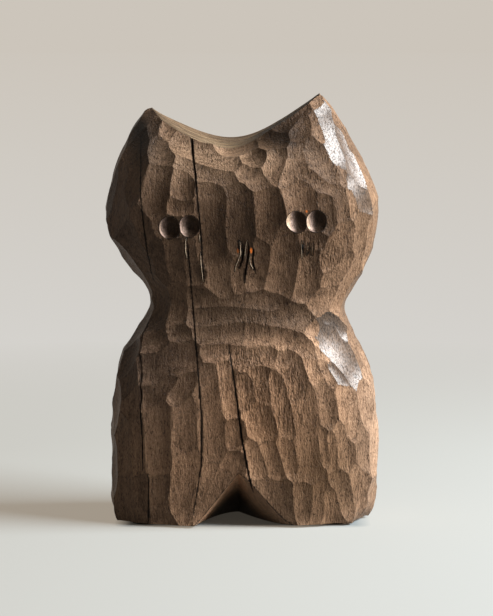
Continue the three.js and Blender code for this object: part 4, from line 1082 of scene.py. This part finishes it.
def grain_group():
    """Upright grain on Object coordinates: long fibres, fine fibres, growth layers round an upright pith
    behind the block, short dark pores and pale specks. All are noise or waves squeezed across the grain."""
    tree = bpy.data.node_groups.new("upright_grain", "ShaderNodeTree")
    tree.interface.new_socket("Vector", in_out="INPUT", socket_type="NodeSocketVector")
    for name in ("Fibres", "Fine fibres", "Layers", "Pores", "Specks"):
        tree.interface.new_socket(name, in_out="OUTPUT", socket_type="NodeSocketFloat")
    place = tree.nodes.new("NodeGroupInput").outputs["Vector"]
    moved = node(tree, "Mapping", {"Vector": place, "Location": PITH_SHIFT, "Scale": PITH_STRETCH})
    layers = {"Vector": moved.outputs[0], **LAYERS}
    pores = noise(tree, place, *PORES)
    fill_sockets(tree, tree.nodes.new("NodeGroupOutput"), {
        "Fibres": noise(tree, place, *FIBRES),
        "Fine fibres": noise(tree, place, *FINE_FIBRES),
        "Layers": node(tree, "TexWave", layers, wave_type="RINGS", rings_direction="Z").outputs["Fac"],
        "Pores": remap(tree, pores, *PORE_RANGE),
        "Specks": remap(tree, pores, *SPECK_RANGE),
    })
    return tree


def principled(name):
    """A new material with its node tree, its shader and its object coordinates."""
    material = bpy.data.materials.new(name)
    material.use_nodes = True
    tree = material.node_tree
    return material, tree, tree.nodes["Principled BSDF"], node(tree, "TexCoord").outputs["Object"]


def with_flecks(tree, place, colour):
    """The colour with flecks of resin in it, each an ellipsoid with a soft edge."""
    for x, z, wide, high, strength in FLECKS:
        spot = (np.array([x, FLECK_Y, z]) + SHIFT) * MM
        scales = (1 / (wide * MM), 1 / (FLECK_REACH * MM), 1 / (high * MM))
        offset = vector_calc(tree, "SUBTRACT", place, tuple(spot))
        away = vector_calc(tree, "LENGTH", vector_calc(tree, "MULTIPLY", offset, scales))
        colour = blended(tree, remap(tree, away, *FLECK_RANGE, 0, strength), colour, RESIN_COLOUR)
    return colour


def waxed_wood(grain):
    """Dark stained wood under wax: fibres, growth layers and broad clouds in the colour, dark pores, pale
    specks where the staining hasn't taken, dark pits between torn fibres, and flecks of resin. The top
    shows its fibres lengthwise. Each cut has a tone of its own, and a thin line of painted shade darkens
    the ridges. The stored shares of the colour hold staining and also painted light and shade. Where the
    wax is rubbed to a shine, the wood is darker under a streaky coat."""
    material, tree, shader, place = principled("waxed_wood")
    fibres, fine, layers, pores, specks = node(tree, "Group", {"Vector": place}, node_tree=grain).outputs
    tone = weighted(tree, (fibres, fine, layers, noise(tree, place, *BROAD_TONE)), TONE_SHARES)
    colour = blended(tree, remap(tree, tone, *TONE_RANGE), WOOD_DARK, WOOD_PALE)
    colour = blended(tree, calc(tree, "MULTIPLY", pores, PORE_SHARE), colour, PORE_COLOUR)
    colour = blended(tree, calc(tree, "MULTIPLY", specks, SPECK_SHARE), colour, SPECK_COLOUR)
    streaks = remap(tree, noise(tree, place, *TOP_STREAKS), *STREAK_RANGE)
    top = mask(tree, "top")
    colour = blended(tree, top, colour, blended(tree, streaks, STREAK_DARK, STREAK_PALE))
    rags = remap(tree, noise(tree, place, *RAGS), *RAG_RANGE)
    torn_here = mask(tree, "torn")
    pits = calc(tree, "MULTIPLY", calc(tree, "SUBTRACT", 1.0, rags), torn_here)
    colour = blended(tree, calc(tree, "MULTIPLY", pits, PIT_SHARE), colour, PIT_COLOUR)
    cut_tone = remap(tree, mask(tree, "tone"), 0, 1, *CUT_TONES)
    # Painted shade: a thin darker line along each ridge between cuts
    ridge_painted_shade = remap(tree, mask(tree, "ridge"), 0, RIDGE_WIDTH, *RIDGE_PAINTED_SHADES)
    wax = mask(tree, "wax")
    kept = calc(tree, "MULTIPLY", cut_tone, ridge_painted_shade)
    kept = calc(tree, "MULTIPLY", kept, remap(tree, wax, 0, 1, 1, POLISHED_TONE))
    stained_and_shaded = node(tree, "Attribute", attribute_name="stain_and_painted_shading").outputs["Vector"]
    colour = vector_calc(tree, "MULTIPLY", colour, stained_and_shaded)
    colour = node(tree, "VectorMath", {0: colour, 3: kept}, operation="SCALE").outputs[0]
    film = calc(tree, "MULTIPLY", wax, remap(tree, fine, *FILM_RANGE, FILM_LEAST, 1))
    reliefs = (fibres, fine, pores, streaks, rags)
    shares = (*RELIEF_SHARES, top, calc(tree, "MULTIPLY", torn_here, TORN_RELIEF))
    fill_sockets(tree, shader, {
        "Base Color": with_flecks(tree, place, colour),
        "Roughness": remap(tree, fibres, *ROUGH_RANGE, *WOOD_ROUGHNESS),
        "Specular IOR Level": 0.12,
        "Coat Weight": remap(tree, film, 0, 1, COAT_LEAST, 1),
        "Coat Roughness": 0.36,
        "Coat IOR": 1.58,
        "Normal": bumped(tree, weighted(tree, reliefs, shares), WOOD_RELIEF),
    })
    return material


def raw_wood(name, grain, colours, roughness, specular):
    """Unstained wood whose fibres run from one colour to another."""
    material, tree, shader, place = principled(name)
    marks = node(tree, "Group", {"Vector": place}, node_tree=grain)
    fill_sockets(tree, shader, {
        "Base Color": blended(tree, marks.outputs["Fibres"], *colours),
        "Roughness": roughness,
        "Specular IOR Level": specular,
    })
    return material


def split_wood_painted_shade(grain):
    """The raw inside of cracks and slits, painted near black as painted shade."""
    return raw_wood("split_wood_painted_shade", grain, SPLIT_SHADE_COLOURS, roughness=0.8, specular=0.1)


def splinter_wood(grain):
    """Pale raw fibres that stand up from the stained surface."""
    return raw_wood("splinter_wood", grain, SPLINTER_COLOURS, roughness=0.7, specular=0.2)


def felt():
    """Dense dark felt: a fuzz of short fibres in the colour and the relief, with a soft sheen."""
    material, tree, shader, place = principled("felt")
    fuzz = noise(tree, place, *FUZZ)
    share = weighted(tree, (fuzz, noise(tree, place, *CLUMPS)), FELT_SHARES)
    fill_sockets(tree, shader, {
        "Base Color": blended(tree, share, *FELT_COLOURS),
        "Roughness": 0.95,
        "Specular IOR Level": 0.1,
        "Sheen Weight": 0.3,
        "Normal": bumped(tree, fuzz, FELT_RELIEF),
    })
    return material


def block():
    """The carved block with its notch, eyes, cracks and slits."""
    grain = grain_group()
    materials = [waxed_wood(grain), split_wood_painted_shade(grain), splinter_wood(grain)]
    cuts = all_cuts()
    piece = carved_block(cuts, materials)
    cutters = [notch_cutter(materials)]
    for k, (x, z) in enumerate(EYE_HOLLOWS):
        cutters.append(eye_cutter(f"eye_cutter_{k}", x, z, cuts, materials))
    for group, depth in ((CRACKS, CRACK_DEPTH), (NOSE_SLITS, NOSE_DEPTH), (SPLITS, SPLIT_DEPTH)):
        for rows in group:
            cutters.append(crack_cutter(f"crack_cutter_{len(cutters)}", rows, depth, cuts, materials))
    combine(piece, "DIFFERENCE", cutters)
    slivers = [splinter(f"splinter_{k}", rows, cuts, materials) for k, rows in enumerate(SPLINTERS)]
    combine(piece, "UNION", slivers)
    piece.data.set_sharp_from_angle(angle=RIDGE_ANGLE)
    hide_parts("carved_block")
    return piece


# The studio
def seen_directly(tree):
    """1 for rays from the camera, from a gloss or through glass, 0 for the light that falls on things."""
    path = node(tree, "LightPath")
    seen = calc(tree, "MAXIMUM", path.outputs["Is Camera Ray"], path.outputs["Is Glossy Ray"])
    return calc(tree, "MAXIMUM", seen, path.outputs["Is Transmission Ray"])


def floor_material():
    """A pale floor that fades, with the distance from the figurine, into the tone of the backdrop. Under
    the block its glow is cut down to a painted contact shadow.
    """
    material = bpy.data.materials.new("pale_floor")
    material.use_nodes = True
    tree = material.node_tree
    tree.nodes.clear()
    place = node(tree, "TexCoord").outputs["Object"]
    away = vector_calc(tree, "LENGTH", place)
    near = calc(tree, "DIVIDE", FADE_LENGTH, calc(tree, "ADD", away, FADE_LENGTH))
    colour = blended(tree, remap(tree, near, 0, MIDDLE_NEARNESS), BACKDROP, MIDDLE_PALE)
    colour = blended(tree, remap(tree, near, MIDDLE_NEARNESS, FULL_NEARNESS), colour, NEAR_PALE)
    # Painted contact shadow: the floor's glow falls off under the block
    outside = vector_calc(tree, "SUBTRACT", vector_calc(tree, "ABSOLUTE", place), FOOTPRINT)
    beside = vector_calc(tree, "LENGTH", vector_calc(tree, "MAXIMUM", outside, (0, 0, 0)))
    glow_with_painted_shadow = remap(tree, beside, 0, FOOTPRINT_EASE, BOUNCE_LEAST, 1)
    lit = node(tree, "AddShader", {
        0: node(tree, "BsdfDiffuse", {"Color": FLOOR_LIT}).outputs[0],
        1: node(tree, "Emission", {"Color": FLOOR_BOUNCE, "Strength": glow_with_painted_shadow}).outputs[0],
    }).outputs[0]
    plain = node(tree, "Emission", {"Color": colour}).outputs[0]
    seen = node(tree, "MixShader", {0: remap(tree, away, *LIT_RANGE), 1: lit, 2: plain}).outputs[0]
    unseen = node(tree, "BsdfDiffuse", {"Color": FLOOR_UNSEEN}).outputs[0]
    result = node(tree, "MixShader", {0: seen_directly(tree), 1: unseen, 2: seen}).outputs[0]
    node(tree, "OutputMaterial", {"Surface": result})
    return material


def floor():
    """A flat disc far larger than the view."""
    turn = np.linspace(0, 2 * np.pi, FLOOR_TURNS, endpoint=False)
    rim = np.stack([np.cos(turn), np.sin(turn), 0 * turn], 1) * FLOOR_RADIUS / MM
    e = np.arange(FLOOR_TURNS)
    faces = np.stack([0 * e, 1 + e, 1 + (e + 1) % FLOOR_TURNS], 1)
    made = make_object("floor", np.concatenate([[[0, 0, 0]], rim]), faces, [floor_material()])


def aimed(thing, place, target):
    """Puts a lamp or camera at a place in metres, with its -Z towards the target."""
    place, target = Vector(place), Vector(target)
    thing.location = place
    thing.rotation_euler = (target - place).to_track_quat("-Z", "Y").to_euler()


def light():
    """One soft lamp on the right, low, and hardly any light from elsewhere."""
    data = bpy.data.lights.new("key", "AREA")
    data.shape = "RECTANGLE"
    data.size = KEY_WIDTH
    data.size_y = KEY_HEIGHT
    data.energy = KEY_WATTS
    lamp = bpy.data.objects.new("key", data)
    bpy.context.scene.collection.objects.link(lamp)
    level = KEY_DISTANCE * math.cos(KEY_ELEVATION)
    place = (
        AIM[0] + level * math.sin(KEY_AZIMUTH),
        AIM[1] - level * math.cos(KEY_AZIMUTH),
        AIM[2] + KEY_DISTANCE * math.sin(KEY_ELEVATION),
    )
    aimed(lamp, place, AIM)
    world = bpy.data.worlds.new("studio")
    bpy.context.scene.world = world
    world.use_nodes = True
    tree = world.node_tree
    tree.nodes.clear()
    fill = node(tree, "Background", {"Color": FILL_COLOUR, "Strength": FILL}).outputs[0]
    seen = node(tree, "Background", {"Color": BACKDROP, "Strength": 1.0}).outputs[0]
    result = node(tree, "MixShader", {0: seen_directly(tree), 1: fill, 2: seen}).outputs[0]
    node(tree, "OutputWorld", {"Surface": result})


def camera():
    """A long lens in front of the figurine, a little above its middle."""
    data = bpy.data.cameras.new("camera")
    data.lens = CAMERA_LENS
    data.sensor_fit = "VERTICAL"
    data.sensor_height = CAMERA_SENSOR
    thing = bpy.data.objects.new("camera", data)
    bpy.context.scene.collection.objects.link(thing)
    shift = SHIFT * MM
    aimed(thing, np.array(CAMERA_PLACE) + shift, np.array(AIM) + shift)
    bpy.context.scene.camera = thing


camera()
felt_finish = felt()
pieces = [block()] + [felt_disc(side, end, felt_finish) for side in (-1, 1) for end in (-1, 1)]
for piece in pieces:
    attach(piece, BODY)
floor()
light()
bpy.context.scene.view_settings.view_transform = "Standard"
